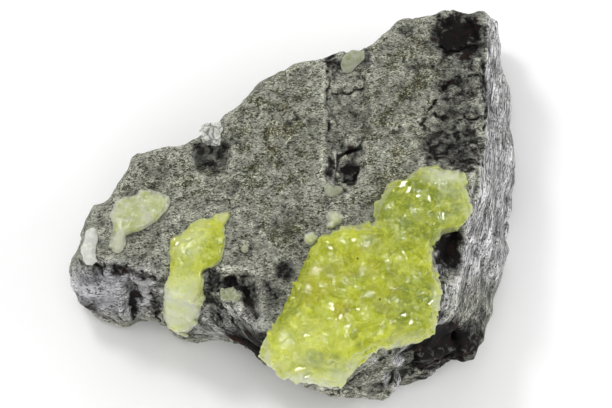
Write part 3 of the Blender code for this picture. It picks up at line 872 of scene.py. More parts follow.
@dataclass
class MatrixStone:
    """The serpentinite block: rough flanks, a fibrous broad face, cracks, black rock and pockets of
    painted shade.
    """

    name: str = "matrix_surface"
    node: str = ROCK
    voxel: float = 0.38
    triangles: int = 190000
    flat_back: float = 0.06  # height under which the resting back stays flat
    face_rise: tuple[float, float] = (0.07, -0.05)
    swells: Layer = Layer(0.35, 9.0, 3.0, 2)
    lumps: tuple[Layer, ...] = (Layer(0.5, 6.5, 5.0), Layer(0.7, 12.0, 6.0))  # broken sides
    chips: Layer = Layer(0.30, 2.6, 9.0, 2)
    smoothed: float = 0.7  # the share of its lumps that lavender rock lacks
    lumps_top: float = 0.1  # how far the lumps rise above the CAD, and
    lumps_sunk: float = 0.2  # how far they are sunk in it
    plates: Layer = Layer(0.14, 3.4, 2.0)  # on the broad face
    pits: Layer = Layer(0.10, 1.5, 4.0)
    seams: Layer = Layer(1.0, 7.0, 14.0, 2)  # between the blocks of the broken sides
    seam_depth: tuple[float, float] = (0.1, 0.15)  # everywhere, and more on the broken sides
    beds: tuple[Layer, ...] = (Layer(0.5, 3.8, 12.0), Layer(0.3, 1.5, 12.0), Layer(0.14, 0.8, 12.0))
    bed_length: float = 10.0  # how many times longer than wide the flank's ridges are
    edges: tuple[Layer, ...] = (Layer(1.0, 2.4), Layer(0.5, 0.8, 17.0))  # of cracks and patches
    closed: Layer = Layer(1.0, 3.0, 50.0)  # where the cracks close
    waver: Layer = Layer(0.35, 1.8)  # of the blocks' sides
    steps: tuple = ((6.5, 0.36, 0.15, 41.0), (2.8, 0.06, 0.0, 43.0))  # size, height, crack, shift
    block: Layer = Layer(0.42, 4.6, 47.0)  # shattered blocks and crumbs, which differ in tone
    crumb: Layer = Layer(0.26, 1.7, 53.0)
    stain: float = 0.25  # how dark the cracks and some crumbs are
    finish: Serpentinite = Serpentinite()
    cracks: tuple[Crack, ...] = (
        Crack([(7.6, 29.0), (6.9, 24.0), (7.5, 19.0), (6.8, 13.0), (7.4, 5.6)], 0.45, 0.6),
        Crack([(7.8, 21.6), (9.6, 22.0), (11.4, 23.2), (13.6, 23.0)], 0.35, 0.7),
        Crack([(14.2, 27.0), (13.8, 20.0), (14.4, 14.0)], 0.3, 0.3),
        Crack([(13.8, 13.4), (13.1, 10.8), (11.2, 9.4), (9.4, 9.2)], 0.6, 1.0),
        Crack([(13.8, 8.2), (12.8, 5.4), (11.0, 4.0)], 0.7, 1.1),
        Crack([(28.8, 31.6), (32.4, 30.5), (35.2, 31.4), (38.2, 31.2)], 0.45, 0.9),
        Crack([(28.4, 22.4), (31.0, 23.4), (34.4, 25.0), (38.4, 25.6)], 0.35, 0.7),
        Crack([(28.2, 21.0), (27.0, 18.4), (25.6, 14.6)], 0.4, 0.8),
        Crack([(25.2, 16.2), (29.0, 17.6), (33.0, 17.0), (38.2, 17.4)], 0.35, 0.6),
        Crack([(26.0, 9.4), (30.0, 7.4), (34.6, 8.8), (37.4, 7.6)], 0.4, 0.7),
        Crack([(38.4, 32.0), (38.2, 26.0), (38.6, 20.0), (38.0, 14.0)], 0.45, 0.8),
        Crack([(-42.6, -11.4), (-38.6, -12.6), (-34.0, -13.2), (-29.4, -14.2)], 0.6, 0.9),
        Crack([(-31.6, -13.8), (-31.4, -18.0), (-32.2, -22.6)], 0.7, 1.2),
        Crack([(-27.4, -15.0), (-27.8, -19.4), (-26.6, -23.4)], 0.5, 0.9),
        Crack([(-38.8, -13.4), (-38.2, -17.4)], 0.4, 0.7),
        Crack([(-16.2, -17.6), (-14.4, -15.6), (-11.4, -15.4), (-8.8, -17.6)], 0.8, 1.0),
        Crack([(-14.6, -20.4), (-14.8, -24.4), (-12.2, -25.0), (-11.4, -22.2)], 0.4, 0.7),
        Crack([(-4.4, -26.4), (-8.0, -28.4), (-12.0, -28.0)], 0.9, 1.0),
        Crack([(18.4, -28.4), (20.2, -32.0), (19.4, -35.6)], 0.7, 1.2),
        Crack([(24.0, -29.4), (25.4, -33.0)], 0.7, 1.2),
        Crack([(17.6, -31.4), (22.4, -32.2), (29.0, -30.6), (34.0, -29.0)], 0.6, 1.0),
    )
    # dark and black rock, and painted shade in pits, recesses and crevices
    dark_rock_and_shade_patches: Rows = (
        (33.6, 34, 5.6, 4.6, 6, 1.3), (33.4, 23, 6, 14, 0, 0.58), (31.4, 23.5, 2.6, 1.2, 20, 0.95),
        (37, 27, 1.6, 9, 0, 0.55), (38.2, 24, 0.7, 7, 0, 0.9), (32, 11.4, 6, 4.4, 0, 0.80),
        (27.4, 10.6, 2, 3.4, 0, 0.85), (33.8, 8, 3.4, 1.6, 0, 0.95), (34.6, 13.4, 2.2, 1.6, 0, 0.8),
        (10.6, 16, 3, 11, 0, 0.24), (7.3, 16, 0.8, 12, 0, 0.55), (7.4, 7.2, 0.9, 2.8, 0, 0.9),
        (11.8, 10.4, 1.7, 1.5, -20, 0.95), (11.2, 5.9, 1.9, 1.8), (8, 28.4, 1.2, 3, 20, 0.9),
        (14.9, 29.2, 0.8, 2, 0, 0.9), (-0.6, 16, 0.9, 0.7, 40, 0.8),
        (22.8, 34.8, 1.7, 1.3, 0, 0.75), (25.6, 27.6, 3.2, 2.2, 20, 0.5),
        (22.6, 20, 2.6, 3, 0, 0.35), (-16.2, 9.4, 3.4, 3, 10, 0.62),
        (-13.6, 12, 1.2, 2.8, -20, 0.7), (-19.2, 10.6, 1.4, 2, 0, 0.6), (-1, -5, 3.4, 3, 0, 0.42),
        (-38.6, -12.9, 1, 1.6), (-33.4, -13.2, 2.4, 1.1), (-31.6, -19.4, 1.1, 3, -8),
        (-27.4, -20, 1.3, 3.2, 0, 0.8), (-29.4, -14.4, 3, 1, -10, 0.7),
        (-7.8, -28.8, 5.4, 3.8, -20, 1.6), (-1.6, -13.2, 1.7, 2, 20, 0.95),
        (-5, -17, 1.6, 3.6, 30, 0.6), (-12.4, -16, 3.8, 1.3, 10, 0.95), (-8.2, -17.8, 1.6, 2.2),
        (-16, -14.4, 1.8, 2, 0, 0.85), (-15.2, -22, 1.4, 3.6, 0, 0.6),
        (30.4, -9.4, 2.6, 3.6, 0, 1.4), (28, -26.4, 5.4, 2.4, 12, 1.7),
        (25.6, -30.4, 2.4, 3, 10, 1.1), (36, -27.4, 2.4, 2.8, 0, 0.8),
        (28.6, -18.8, 1, 5.6, 0, 0.8), (31.4, -28.6, 6.6, 4.8, 12, 1.2), (33, -20, 0.8, 7, -8, 0.5),
        (37.6, -23, 1, 5, 0, 0.6), (27.4, -21, 0.8, 6, 0, 0.6), (30, -33.6, 8, 1.4, 12, 0.7),
        (-22, -25.4, 3, 1.6, 0, 0.6), (-11, -22, 7, 6, -20, 0.15), (-41, -21, 2.6, 1.2, 0, 0.6),
        (17.4, -36, 3, 1.6, 20, 0.6),
    )
    olive_patches: Rows = (
        (-4, 12, 9, 12, -20, 0.9), (22, 22, 8, 14, 0, 0.8), (-0.6, -4.6, 5, 3.6),
        (-22, 4, 8, 5, 30, 0.6), (18, 4, 8, 6, 0, 0.7), (30, 20, 4, 3, 0, 0.8),
    )
    broken_patches: Rows = (
        (33.6, 22, 6, 17, 0, 0.6), (11, 16, 3.2, 13, 0, 0.5), (27, -29, 11, 6, 12),
        (-36, -17, 12, 6, -8, 0.7), (-10, -22, 10, 8, -20, 0.8), (-16, 9.6, 4, 3.4, 0, 0.8),
        (31, -9, 3, 5, 0, 0.8), (8, -37, 14, 3, 0, 0.8),
    )
    bedded_patches: Rows = ((40.6, -16, 7.6, 18, 3),)
    brown_patches: Rows = ((38, -25, 9, 9, 0, 0.8), (36.4, -29, 5, 4))
    lavender_patches: Rows = (
        (-37, -17.6, 10, 5), (-13, -24, 7, 4, 0, 0.4), (35, -14, 4, 6, 0, 0.5),
    )

    def build(self) -> Piece:
        """Builds the stone's surface and its painted attributes.

        Returns:
            The finished piece.
        """
        piece = make_piece(self.name, merged_mesh(self.node))
        remesh(piece, self.voxel)
        points, facing = positions(piece), soft_normals(piece, 6)
        flank = self.on_flank(points, facing)
        relief = self.relief(points, self.on_face(facing), flank)
        relief += self.fractured(points) * (1.0 - flank)
        relief = spread(piece, relief, 1)
        cut = shown_side(facing) * crack_depth(self.warped(points), self.cracks)
        cut *= smooth_share(self.closed.noise(points), -0.35, 0.15)
        moved = points + facing * relief[:, None] - OUTWARD * cut[:, None]
        resting = points[:, 2] < self.flat_back
        moved[resting] = points[resting]
        moved[:, 2] = np.maximum(moved[:, 2], 0.0)
        set_positions(piece, moved)
        thin_out(piece, self.triangles)
        self.colour(piece)
        dress(piece, self.finish.material(), self.node)
        return piece

    def on_face(self, facing: Array) -> Array:
        """How far points with these normals belong to the broad face, from 0 to 1."""
        way = Vector((-self.face_rise[0], -self.face_rise[1], 1.0)).normalized()
        return np.clip(facing @ np.array(way), 0.0, 1.0) ** 4

    def on_flank(self, points: Array, facing: Array) -> Array:
        """How far points with these normals belong to the bedded right flank, from 0 to 1."""
        side = patch_cover(PLANE.flat(points), self.bedded_patches, 0.15) * shown_side(facing)
        return np.maximum(smooth_share(facing[:, 0], 0.4, 0.7), side)

    def warped(self, points: Array) -> Array:
        """Moves points about, so that what is drawn there is ragged.

        Args:
            points: positions in millimetres.

        Returns:
            The points in the display plane.
        """
        flat = PLANE.flat(points)
        for layer in self.edges:
            wander(flat, points, layer)
        return flat

    def fractured(self, points: Array) -> Array:
        """The steps and open cracks between the blocks of the shattered areas.

        Args:
            points: positions in millimetres.

        Returns:
            How far each point stands out, in millimetres.
        """
        zone = patch_cover(self.warped(points), self.broken_patches)
        moved = points + np.array([self.waver.noise(points, 7.0 * axis) for axis in range(3)]).T
        step = np.zeros(len(points))
        for size, height, crack, shift in self.steps:
            levels, opened = blocks(moved, size, shift)
            step += zone * (height * levels - crack * opened)
        return step

    def colour(self, piece: Piece) -> None:
        """Paints the attributes that the finish reads.

        Args:
            piece: the stone, in its last shape.
        """
        points = positions(piece)
        smooth = soft_normals(piece, 8)
        shown = shown_side(smooth)
        flank = self.on_flank(points, smooth)
        warped = self.warped(points)
        brown = patch_cover(warped, self.brown_patches)
        # The right-facing flank gets the light lavender-grey, partly its own paler rock and partly
        # painted light from that side.
        lavender = np.maximum(0.85 * flank, shown * patch_cover(warped, self.lavender_patches))
        lavender *= 1.0 - brown
        zone = patch_cover(warped, self.broken_patches) * (1.0 - flank)
        levels, opened = blocks(warped, self.block.size, self.block.shift)
        fine_levels, _ = blocks(warped, self.crumb.size, self.crumb.shift)
        # Painted shade in the hollows and painted light on the crests, from how far each point lies
        # below the smoothed surface.
        hollow = 0.4 * hollowness(piece, 5) + 0.7 * hollowness(piece, 20)
        paint(piece, "cavity_shade_and_crest_light", hollow * (1.0 - 0.6 * lavender * (1.0 - flank)))
        paint(piece, "flank", flank)
        paint(piece, "lavender", lavender)
        # Painted shade in pits, recesses and crevices, and dark rock, with darker cracks and crumbs
        # in the shattered zones.
        dark = 0.95 * shown * patch_cover(warped, self.dark_rock_and_shade_patches, 0.7)
        stain = self.stain * opened + self.stain * (fine_levels > 0.55)
        paint(piece, "dark", dark + zone * stain)
        tone = 1.0 + zone * (self.block.rise * levels + self.crumb.rise * fine_levels)
        paint(piece, "tone", tone * (1.0 - 0.2 * brown))
        paint(piece, "broken", zone)
        paint(piece, "felt", 1.0 - 0.3 * zone - 0.3 * lavender * (1.0 - flank))
        paint(piece, "olive", self.on_face(smooth) * patch_cover(warped, self.olive_patches))

    def relief(self, points: Array, on_face: Array, flank: Array) -> Array:
        """How far the broken surface stands out, in millimetres.

        Args:
            points: positions in millimetres.
            on_face: how far each point belongs to the broad face, from 0 to 1.
            flank: how far each point belongs to the bedded right flank.

        Returns:
            The height of the relief at each point.
        """
        broken = (1.0 - on_face) * (1.0 - flank)
        rough = self.swells.noise(points)
        lumps = 1.0 - self.smoothed * patch_cover(self.warped(points), self.lavender_patches)
        lumpy = sum(layer.facets(points) for layer in self.lumps) + self.chips.noise(points)
        rough += broken * np.minimum(lumps * lumpy - self.lumps_sunk, self.lumps_top)
        rough += on_face * (self.plates.facets(points) + self.pits.noise(points))
        # Open seams wind between the blocks of the broken sides.
        seam = 1.0 - smooth_share(np.abs(self.seams.noise(points)), 0.0, 0.07)
        depth = self.seam_depth[0] + self.seam_depth[1] * broken
        rough -= depth * (1.0 - flank) * seam
        # The beds of the right flank stand out as long ridges.
        lengthwise = points / np.array((1.0, self.bed_length, 1.0))
        for bed in self.beds:
            rough += flank * bed.rise * field_noise(lengthwise, bed.size, bed.shift)
        return rough


@dataclass
class BruciteGrowth:
    """A crust or bead of brucite on the stone: small glassy domes that grew into one skin."""

    node: str
    hue: Hue
    voxel: float = 0.24
    dome: float = 4.6
    dome_rise: float = 0.45
    facet: float = 1.9
    facet_rise: float = 0.08  # away from the sparkling patches
    ragged: float = 0.35  # how uneven the rim is
    rounded: float = 0.0  # how far the crest of the rim is worn round
    soften: int = 1
    clear: bool = False  # see-through grey, as the small beads are
    relax: int = 3
    levelled: float = 0.0  # the share of the lobes' height that is taken off
    level_times: int = 150
    full_depth: float = 7.0  # thickness at which the colour is deepest
    root: float = 0.75  # how far the underside reaches into the stone
    above: float = 2.0  # how far above the skin its thickness is measured from
    overhang: float = 3.0  # the thickness where there is no stone below
    worn_times: int = 90  # how far round the worn skin is evened out
    calmed: float = 0.9  # the share of its relief that calm skin loses
    waves: Layer = Layer(0.10, 2.2, 11.0)
    facet_shift: float = 8.0
    sparkle_rise: float = 0.10  # of the facets where crystal faces catch the light
    grain: Layer = Layer(0.03, 1.0, 3.0)
    sparkle_grain: float = 0.12
    cap: tuple[float, float] = (0.9, 0.6)  # how wide and how sunk the domes are
    teeth: tuple[Layer, Layer] = (Layer(1.0, 1.5, 4.0), Layer(0.6, 0.8, 6.0))  # on the rim
    tooth_height: float = 0.15  # shrinks the teeth's pattern outwards, which draws them out
    clearance: float = 0.02  # over the floor
    core: float = 0.55  # the share of a dome that its deep core takes
    clouding: Layer = Layer(1.2, 3.0)  # of the edges of the patches
    jagged: Layer = Layer(0.35, 0.8, 5.0)  # edges of the cleavage faces
    calm_patches: Rows = ()  # where the skin is smooth
    sparkle_patches: Rows = ()  # where crystal faces catch the light
    frost_patches: Rows = ()
    glow_patches: Rows = ()  # where light shines through, as if thin
    amber_patches: Rows = ()
    green_patches: Rows = ()
    grain_patches: Rows = ()  # black chromite grains grown over
    faces: Rows = ()  # flat cleavage faces turned to the key light
    gaps: float = 0.0  # how black the gaps between the domes are painted, a painted shade
    pale_rim: float = 0.7  # how much paler the steep rim is painted, a painted sheen where the skin turns from the viewer

    @property
    def finish(self) -> Brucite:
        """The finish that the growth has."""
        return CLEAR_BRUCITE if self.clear else BRUCITE[self.hue]

    def build(self, stone: BVHTree, materials: dict, studio: "Studio") -> Piece:
        """Builds the growth.

        Args:
            stone: the stone's surface, for the growth's thickness over it.
            materials: the material of each brucite finish.
            studio: for the way in which the key light glints.

        Returns:
            The finished piece.
        """
        piece = make_piece(f"{self.node}_surface", merged_mesh(self.node))
        remesh(piece, self.voxel, self.relax)
        self.level(piece)
        points = positions(piece)
        under = self.thickness(points, stone)
        facing = soft_normals(piece, 3)
        points = self.wear(piece, points, facing)
        self.swell(piece, points, facing, under)
        self.cleave(piece, studio)
        self.colour(piece, points, under)
        dress(piece, materials[self.finish], self.node)
        return piece

    def calm(self, points: Array) -> Array:
        """How smooth the skin is at each point, from 0 to 1."""
        return np.minimum(patch_cover(PLANE.flat(points), self.calm_patches), 1.0)

    def colour(self, piece: Piece, points: Array, under: Array) -> None:
        """Paints the attributes that the finish reads.

        Args:
            piece: the growth.
            points: where its vertices were before the domes grew.
            under: its thickness there.
        """
        centres, gaps = cells(points, self.dome, 2.0)
        core = 1.0 - np.linalg.norm(points - centres, axis=1) / (self.core * self.dome)
        core = np.clip(core, 0.0, 1.0)
        flat = PLANE.flat(points)
        # Painted shade: black in the gaps between the domes.
        black = self.gaps * (1.0 - smooth_share(gaps, 0.02, 0.15))
        paint(piece, "grain", np.maximum(black, patch_cover(flat, self.grain_patches)))
        lively = 1.0 - self.calm(points)
        # Painted light along the borders between the domes.
        paint(piece, "seam", (1.0 - smooth_share(gaps, 0.0, 0.30)) * lively)
        wander(flat, points, self.clouding)
        thin = 1.0 - smooth_share(under, 0.4, 1.8)
        frost_and_rim_sheen = np.maximum(0.5 * thin, patch_cover(flat, self.frost_patches, 0.8))
        # Painted sheen: the skin is paler where it turns steeply away from the viewer.
        edge = 1.0 - smooth_share(soft_normals(piece, 12) @ OUTWARD, 0.3, 0.85)
        frost_and_rim_sheen = np.maximum(frost_and_rim_sheen, self.pale_rim * edge * lively)
        depth = np.clip(under / self.full_depth, 0.0, 1.0)
        depth *= 1.0 - 0.85 * patch_cover(flat, self.glow_patches, 0.8)
        paint(piece, "thick", depth + 0.3 * core)
        paint(piece, "frost_and_rim_sheen", frost_and_rim_sheen)
        paint(piece, "amber", patch_cover(flat, self.amber_patches))
        paint(piece, "green", np.maximum(0.7 * core, patch_cover(flat, self.green_patches)))

    def level(self, piece: Piece) -> None:
        """Lowers the big lobes towards the skin between them, and leaves the outline alone.

        Args:
            piece: the growth.
        """
        points = positions(piece)
        out = PLANE.flat(points)[:, 2]
        top = smooth_share(normals(piece) @ OUTWARD, 0.1, 0.5)
        lower = (spread(piece, out, self.level_times) - out) * top * self.levelled
        set_positions(piece, points + lower[:, None] * OUTWARD)

    def thickness(self, points: Array, stone: BVHTree) -> Array:
        """How far points stand over the stone along the viewing direction.

        Args:
            points: positions in millimetres.
            stone: the stone's surface.

        Returns:
            The thickness at each point, in millimetres.
        """
        way = -PLANE.out
        found = []
        for point in points:
            start = Vector(point) * MM - way * self.above * MM
            hit = stone.ray_cast(start, way)[0]
            gap = self.overhang if hit is None else (hit - start).length / MM - self.above
            found.append(gap)
        return np.array(found)

    def wear(self, piece: Piece, points: Array, facing: Array) -> Array:
        """Rounds the crest of the rim and smooths the calm skin.

        Args:
            piece: the growth.
            points: its vertices.
            facing: its normals.

        Returns:
            Where the vertices are on the worn skin.
        """
        outward = facing @ OUTWARD
        crest = smooth_share(outward, 0.15, 0.4) * smooth_share(-outward, -0.97, -0.8)
        calm = self.calm(points) * smooth_share(outward, 0.2, 0.5)
        worn = np.maximum(self.rounded * crest, calm)
        return points + (spread(piece, points, self.worn_times) - points) * worn[:, None]

    def swell(self, piece: Piece, points: Array, facing: Array, under: Array) -> None:
        """Grows small domes and facets on the free surface and roots the underside in the stone.

        Args:
            piece: the growth.
            points: its vertices, worn.
            facing: its normals.
            under: its thickness over the stone.
        """
        outward = facing @ OUTWARD
        free = smooth_share(outward, -0.35, 0.15) * smooth_share(under, 0.35, 1.0)
        centres, _ = cells(points, self.dome, 2.0)
        spokes = points - centres
        reach = np.linalg.norm(spokes, axis=1)
        wide, sunk = self.cap
        cap = np.sqrt(np.clip(1.0 - (reach / (wide * self.dome)) ** 2, 0.0, 1.0)) - sunk
        flat = PLANE.flat(points)
        calm = self.calm(points)
        lively = 1.0 - self.calmed * calm
        sparkle = patch_cover(flat, self.sparkle_patches)
        rise = lively * (self.dome_rise * cap + self.waves.noise(points))
        facet_rise = lively * self.facet_rise + self.sparkle_rise * sparkle
        rise += facet_rise * facets(points, self.facet, self.facet_shift)
        grain_rise = self.grain.rise * lively + self.sparkle_grain * sparkle
        rise += grain_rise * facets(points, self.grain.size, self.grain.shift)
        # Along the rim the skin ends in small upright teeth.
        flat *= np.array((1.0, 1.0, self.tooth_height))
        coarse, fine = self.teeth
        rim = smooth_share(outward, 0.8, 0.3)
        rise += rim * self.ragged * (coarse.facets(flat) + fine.noise(flat))
        rise = spread(piece, rise, self.soften)
        moved = points + facing * (free * rise)[:, None]
        rooted = 1.0 - smooth_share(under, 0.3, 0.7)
        rooted *= 1.0 - smooth_share(outward, 0.2, 0.6)
        moved -= OUTWARD * (self.root * rooted)[:, None]
        moved[:, 2] = np.maximum(moved[:, 2], self.clearance)
        set_positions(piece, moved)
        # The fibres fan out from each dome's centre, or from one centre where the skin is smooth.
        spokes += calm[:, None] * (centres - points.mean(axis=0))
        reach = np.linalg.norm(spokes, axis=1)
        lengthen = (3.0 + 0.35 * reach) / np.maximum(reach, 1e-6)
        paint(piece, "spoke", spokes * lengthen[:, None])

    def cleave(self, piece: Piece, studio: "Studio") -> None:
        """Cuts the flat cleavage faces, each turned so that it throws the key light back.

        Args:
            piece: the growth.
            studio: for the way in which the key light glints.
        """
        points = positions(piece)
        flat = PLANE.flat(points)
        top = normals(piece) @ OUTWARD > 0.3
        ragged = flat.copy()
        wander(ragged, points, self.jagged, 9.0)
        shine = np.zeros(len(points))
        for face in self.faces:
            cover = top * patch_cover(ragged, (face,), 0.25)
            if not cover.any():
                continue
            centre = (flat * cover[:, None]).sum(axis=0) / cover.sum()
            way = studio.glint(centre)
            level = centre[2] - ((flat - centre)[:, :2] @ way[:2]) / way[2]
            flat[:, 2] += cover * (level - flat[:, 2])
            shine = np.maximum(shine, cover)
        paint(piece, "sparkle", shine)
        lift = flat[:, 2] - PLANE.flat(points)[:, 2]
        set_positions(piece, points + lift[:, None] * OUTWARD)


GROWTHS = [
    BruciteGrowth(
        "main_crust", Hue.YELLOW, voxel=0.196, relax=18, dome_rise=0.45, rounded=0.8, facet=2.6,
        calm_patches=((1.6, -15.6, 2.4, 9.5, -22), (12, -9, 8, 3, 0, 0.5), (8, -14, 6, 5, 0, 0.2)),
        sparkle_patches=(
            (22.4, 2.6, 1.8, 1.4), (26.8, 0.6, 1, 1.2, 0, 0.8), (25.2, -17.6, 1.6, 1.2),
            (21.8, -21.8, 1.6, 1, 0, 0.9), (8, -20.6, 1.2, 1.6, 0, 0.8),
            (12.4, -20.4, 1.2, 1, 0, 0.6), (1.8, -32.4, 1.8, 1.2, 30),
            (3, -25.6, 1.4, 0.8, 20, 0.6), (11.8, -7.2, 1, 0.8, 0, 0.6),
            (7.4, -8.8, 0.9, 0.8, 0, 0.6), (24, -13, 2.4, 2.2, 0, 0.35), (32, 3, 3, 5, 0, 0.4),
        ),
        frost_patches=(
            (5, -34.6, 9, 3, 0, 0.95), (28.4, -20.4, 2, 6, 0, 0.6), (32.2, 2.6, 4, 6, 0, 0.55),
            (29.6, 5.8, 5, 2.2, 0, 0.95), (22.6, -26.6, 6.6, 2.4, 10, 0.5), (27, 6.6, 4, 2, 0, 0.7),
            (11.4, -32.4, 3, 3.6, 30, 0.7), (2, -29, 9, 7, 20, 0.46), (22, -20, 8, 6, 0, 0.2),
        ),
        glow_patches=(
            (3, -29.4, 9, 6, 20), (8, -21, 6, 2.4, 0, 0.7), (-2, -23.6, 2.4, 3.6, -20, 0.8),
            (22.6, 2, 2.6, 2, 0, 0.6), (6.4, -11, 3, 3, 0, 0.5), (21.6, -13, 4.6, 4, 0, 0.2),
        ),
        amber_patches=(
            (4.6, -15.8, 5, 3.4, 20, 0.8), (9.4, -21.4, 1.6, 2.4), (19.4, -16.9, 2, 1.8, 0, 0.8),
            (12, -12, 5, 4, 0, 0.6),
        ),
        grain_patches=((12.6, -10.8, 0.2, 0.2), (16.8, -18.6, 0.2, 0.2)),
        faces=(
            (21.6, 3.7, 0.5, 1.5, -50), (22.8, 2.6, 0.45, 1.3, -50), (24.6, 1.4, 0.4, 0.64, -50),
            (26.8, 0.8, 0.36, 0.72, 10), (29.4, -2.6, 0.36, 0.48), (11.8, -7.2, 0.8, 0.4),
            (7.4, -8.8, 0.36, 0.64, 30), (24.8, -17.4, 0.4, 0.96, -60),
            (26.4, -19.2, 0.4, 0.96, -60), (21.4, -21.4, 0.88, 0.4, 10), (22.8, -22.9, 0.64, 0.36),
            (7.7, -20, 0.36, 0.96, 10), (9.2, -21.8, 0.36, 0.8, -20), (12.6, -20.4, 0.64, 0.36),
            (1.4, -31.8, 1.3, 0.56, 25), (2.9, -33.3, 1, 0.5, 30), (3, -25.4, 1.04, 0.4, 10),
            (-4.6, -27.6, 0.36, 0.6, -20),
        ),
        green_patches=(
            (26, -1, 9.6, 7, 20, 1.3), (3.8, -29.7, 2.2, 1.8, 0, 0.95),
            (8.8, -30.6, 2.2, 2, 0, 0.75), (24, -19, 5, 6.6, 0, 0.9), (0.4, -17, 2, 9, -22, 0.7),
        ),
    ),
    BruciteGrowth(
        "middle_crust", Hue.YELLOW, rounded=0.8, voxel=0.2, relax=8, ragged=0.3, dome=3.4,
        dome_rise=0.12, facet_rise=0.2, levelled=0.9, level_times=700, full_depth=9.0,
        sparkle_patches=((-23.6, -8.8, 0.9, 1.1), (-17, -6.6, 1, 1, 0, 0.7)),
        calm_patches=((-22, -21.6, 8, 10, 0, 1.1),),
        faces=((-22.6, -8, 0.4, 0.7, -20), (-17, -6.4, 0.4, 0.7), (-19.6, -5.4, 0.6, 0.4)),
        frost_patches=(
            (-22, -21.6, 6, 7.4, 0, 1.2), (-20.6, -7.6, 3.6, 5, -20, 0.6),
            (-13.6, -2.4, 2, 1.6, 0, 0.8),
        ),
        glow_patches=((-21.6, -10, 4, 4, 0, 0.8), (-17, -5, 3, 2, 0, 0.7)),
        green_patches=((-15, -9, 3, 4, 0, 0.6), (-20, -10, 5, 5, 0, 0.5)),
    ),
    BruciteGrowth(
        "left_crust", Hue.PALE, rounded=0.6, voxel=0.2, relax=10, dome=4.0, dome_rise=0.08,
        frost_patches=((-34.4, -7.8, 2, 2.4),),
    ),
    BruciteGrowth("white_crust", Hue.WHITE, voxel=0.16, dome=1.6, dome_rise=0.25),
    BruciteGrowth(
        "rim_knob", Hue.WHITE, gaps=0.65, voxel=0.12, dome=2.0, dome_rise=0.5, facet=0.9,
        facet_rise=0.3,
    ),
    BruciteGrowth("upper_bead", Hue.PALE, clear=True, voxel=0.12, dome=1.6, dome_rise=0.12),
    BruciteGrowth(
        "tall_bead", Hue.PALE, voxel=0.12, dome=1.6, dome_rise=0.12,
        frost_patches=((8.2, -3.6, 3, 4, 0, 0.7),),
    ),
    BruciteGrowth("low_bead", Hue.PALE, voxel=0.12, dome=1.6, dome_rise=0.12),
    BruciteGrowth("face_bead", Hue.WHITE, clear=True, voxel=0.1, dome=1.2, dome_rise=0.1),
    BruciteGrowth(
        "hollow_crust", Hue.WHITE, clear=True, voxel=0.12, dome=1.2, dome_rise=0.2, facet=0.9,
        facet_rise=0.12,
    ),
    BruciteGrowth("rim_plate", Hue.PALE, clear=True, voxel=0.16, dome=3.0, dome_rise=0.08),
]


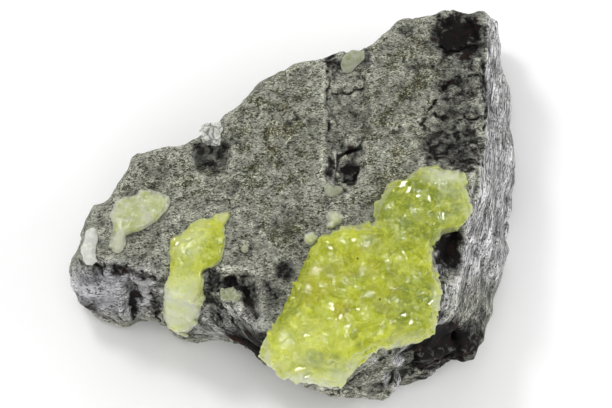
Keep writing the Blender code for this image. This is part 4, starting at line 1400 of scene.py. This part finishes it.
@dataclass
class Studio:
    """A pale floor, soft plain light from above, and the camera that looks down on the stone."""

    aim: tuple[float, float, float] = (2.6, -0.2, 20.0)
    distance: float = 680.0
    lens: float = 200.0
    sensor: float = 36.0
    floor_half: float = 1500.0
    sky: float = 0.5
    lights: dict = field(default_factory=lambda: {
        # name: direction (across, up, out), distance, size, power in watts
        "key": ((-0.45, 0.80, 0.70), 520.0, 90.0, 0.7),
        "window": ((-0.55, 0.70, 0.80), 520.0, 500.0, 0.65),
        "fill": ((0.95, 0.25, 0.45), 520.0, 260.0, 1.0),
        "front": ((-0.35, -0.70, 0.62), 560.0, 260.0, 0.8),
        "top": ((0.05, 0.15, 1.0), 760.0, 300.0, 0.6),
    })

    def build(self) -> None:
        """Builds the floor, the sky, the lights and the camera."""
        self.build_floor()
        world = bpy.data.worlds.new("soft_white_room")
        world.use_nodes = True
        sky = world.node_tree.nodes["Background"]
        sky.inputs["Color"].default_value = linear("#FFFFFF")
        sky.inputs["Strength"].default_value = self.sky
        bpy.context.scene.world = world
        for name, light in self.lights.items():
            self.build_light(name, *light)
        self.build_camera()
        bpy.context.scene.view_settings.view_transform = "Standard"

    def glint(self, place: Array) -> Array:
        """The way a face must look to throw the key light back.

        Args:
            place: where the face is, in the display plane.

        Returns:
            The direction, in the display plane.
        """
        way, distance, *_ = self.lights["key"]
        way = np.array(way) / np.linalg.norm(way)
        sources = (way * distance, np.array((0.0, 0.0, self.distance)))
        ways = [np.array(self.aim) + source - place for source in sources]
        middle = sum(way / np.linalg.norm(way) for way in ways)
        return middle / np.linalg.norm(middle)

    def build_floor(self) -> None:
        """A plain matt white sheet to lie on."""
        bm = bmesh.new()
        bmesh.ops.create_grid(bm, x_segments=1, y_segments=1, size=self.floor_half * MM)
        floor = make_piece("floor", bm)
        material = bpy.data.materials.new("matt_white_paper")
        material.use_nodes = True
        shader = material.node_tree.nodes["Principled BSDF"]
        shader.inputs["Base Color"].default_value = linear("#FAFAFA")
        shader.inputs["Roughness"].default_value = 0.95
        floor.data.materials.append(material)

    def build_light(
        self, name: str, way: tuple, distance: float, size: float, power: float
    ) -> None:
        """Adds a square soft light.

        Args:
            name: the light's name.
            way: the direction from the specimen to the light, in the display plane.
            distance: how far off it is.
            size: its side.
            power: its power in watts.
        """
        lamp = bpy.data.lights.new(name, "AREA")
        lamp.shape = "SQUARE"
        lamp.size = size * MM
        lamp.energy = power
        light = bpy.data.objects.new(name, lamp)
        bpy.context.scene.collection.objects.link(light)
        target = PLANE.world(*self.aim)
        offset = Vector(way).normalized() * distance
        away = Vector((offset.x, 0.0, 0.0)) + PLANE.up * offset.y + PLANE.out * offset.z
        light.location = target + away * MM
        light.rotation_euler = away.to_track_quat("Z", "Y").to_euler()

    def build_camera(self) -> None:
        """Looks straight at the display plane."""
        data = bpy.data.cameras.new("camera")
        data.lens = self.lens
        data.sensor_width = self.sensor
        camera = bpy.data.objects.new("camera", data)
        bpy.context.scene.collection.objects.link(camera)
        camera.location = PLANE.world(*self.aim) + PLANE.out * self.distance * MM
        camera.rotation_euler = (PLANE.lean, 0.0, 0.0)
        bpy.context.scene.camera = camera


def report(piece: Piece) -> None:
    """Logs a piece's name and its count of triangles."""
    piece.data.calc_loop_triangles()
    LOG.info("%s: %d triangles", piece.name, len(piece.data.loop_triangles))


def main() -> None:
    """Builds the studio, the stone and the brucite on it."""
    logging.basicConfig(level=logging.INFO, format="%(name)s: %(message)s")
    studio = Studio()
    studio.build()
    report(MatrixStone().build())
    bm = merged_mesh(ROCK)
    stone = BVHTree.FromBMesh(bm)
    bm.free()
    materials = {finish: finish.material() for finish in (*BRUCITE.values(), CLEAR_BRUCITE)}
    for growth in GROWTHS:
        report(growth.build(stone, materials, studio))


if __name__ == "__main__":
    main()
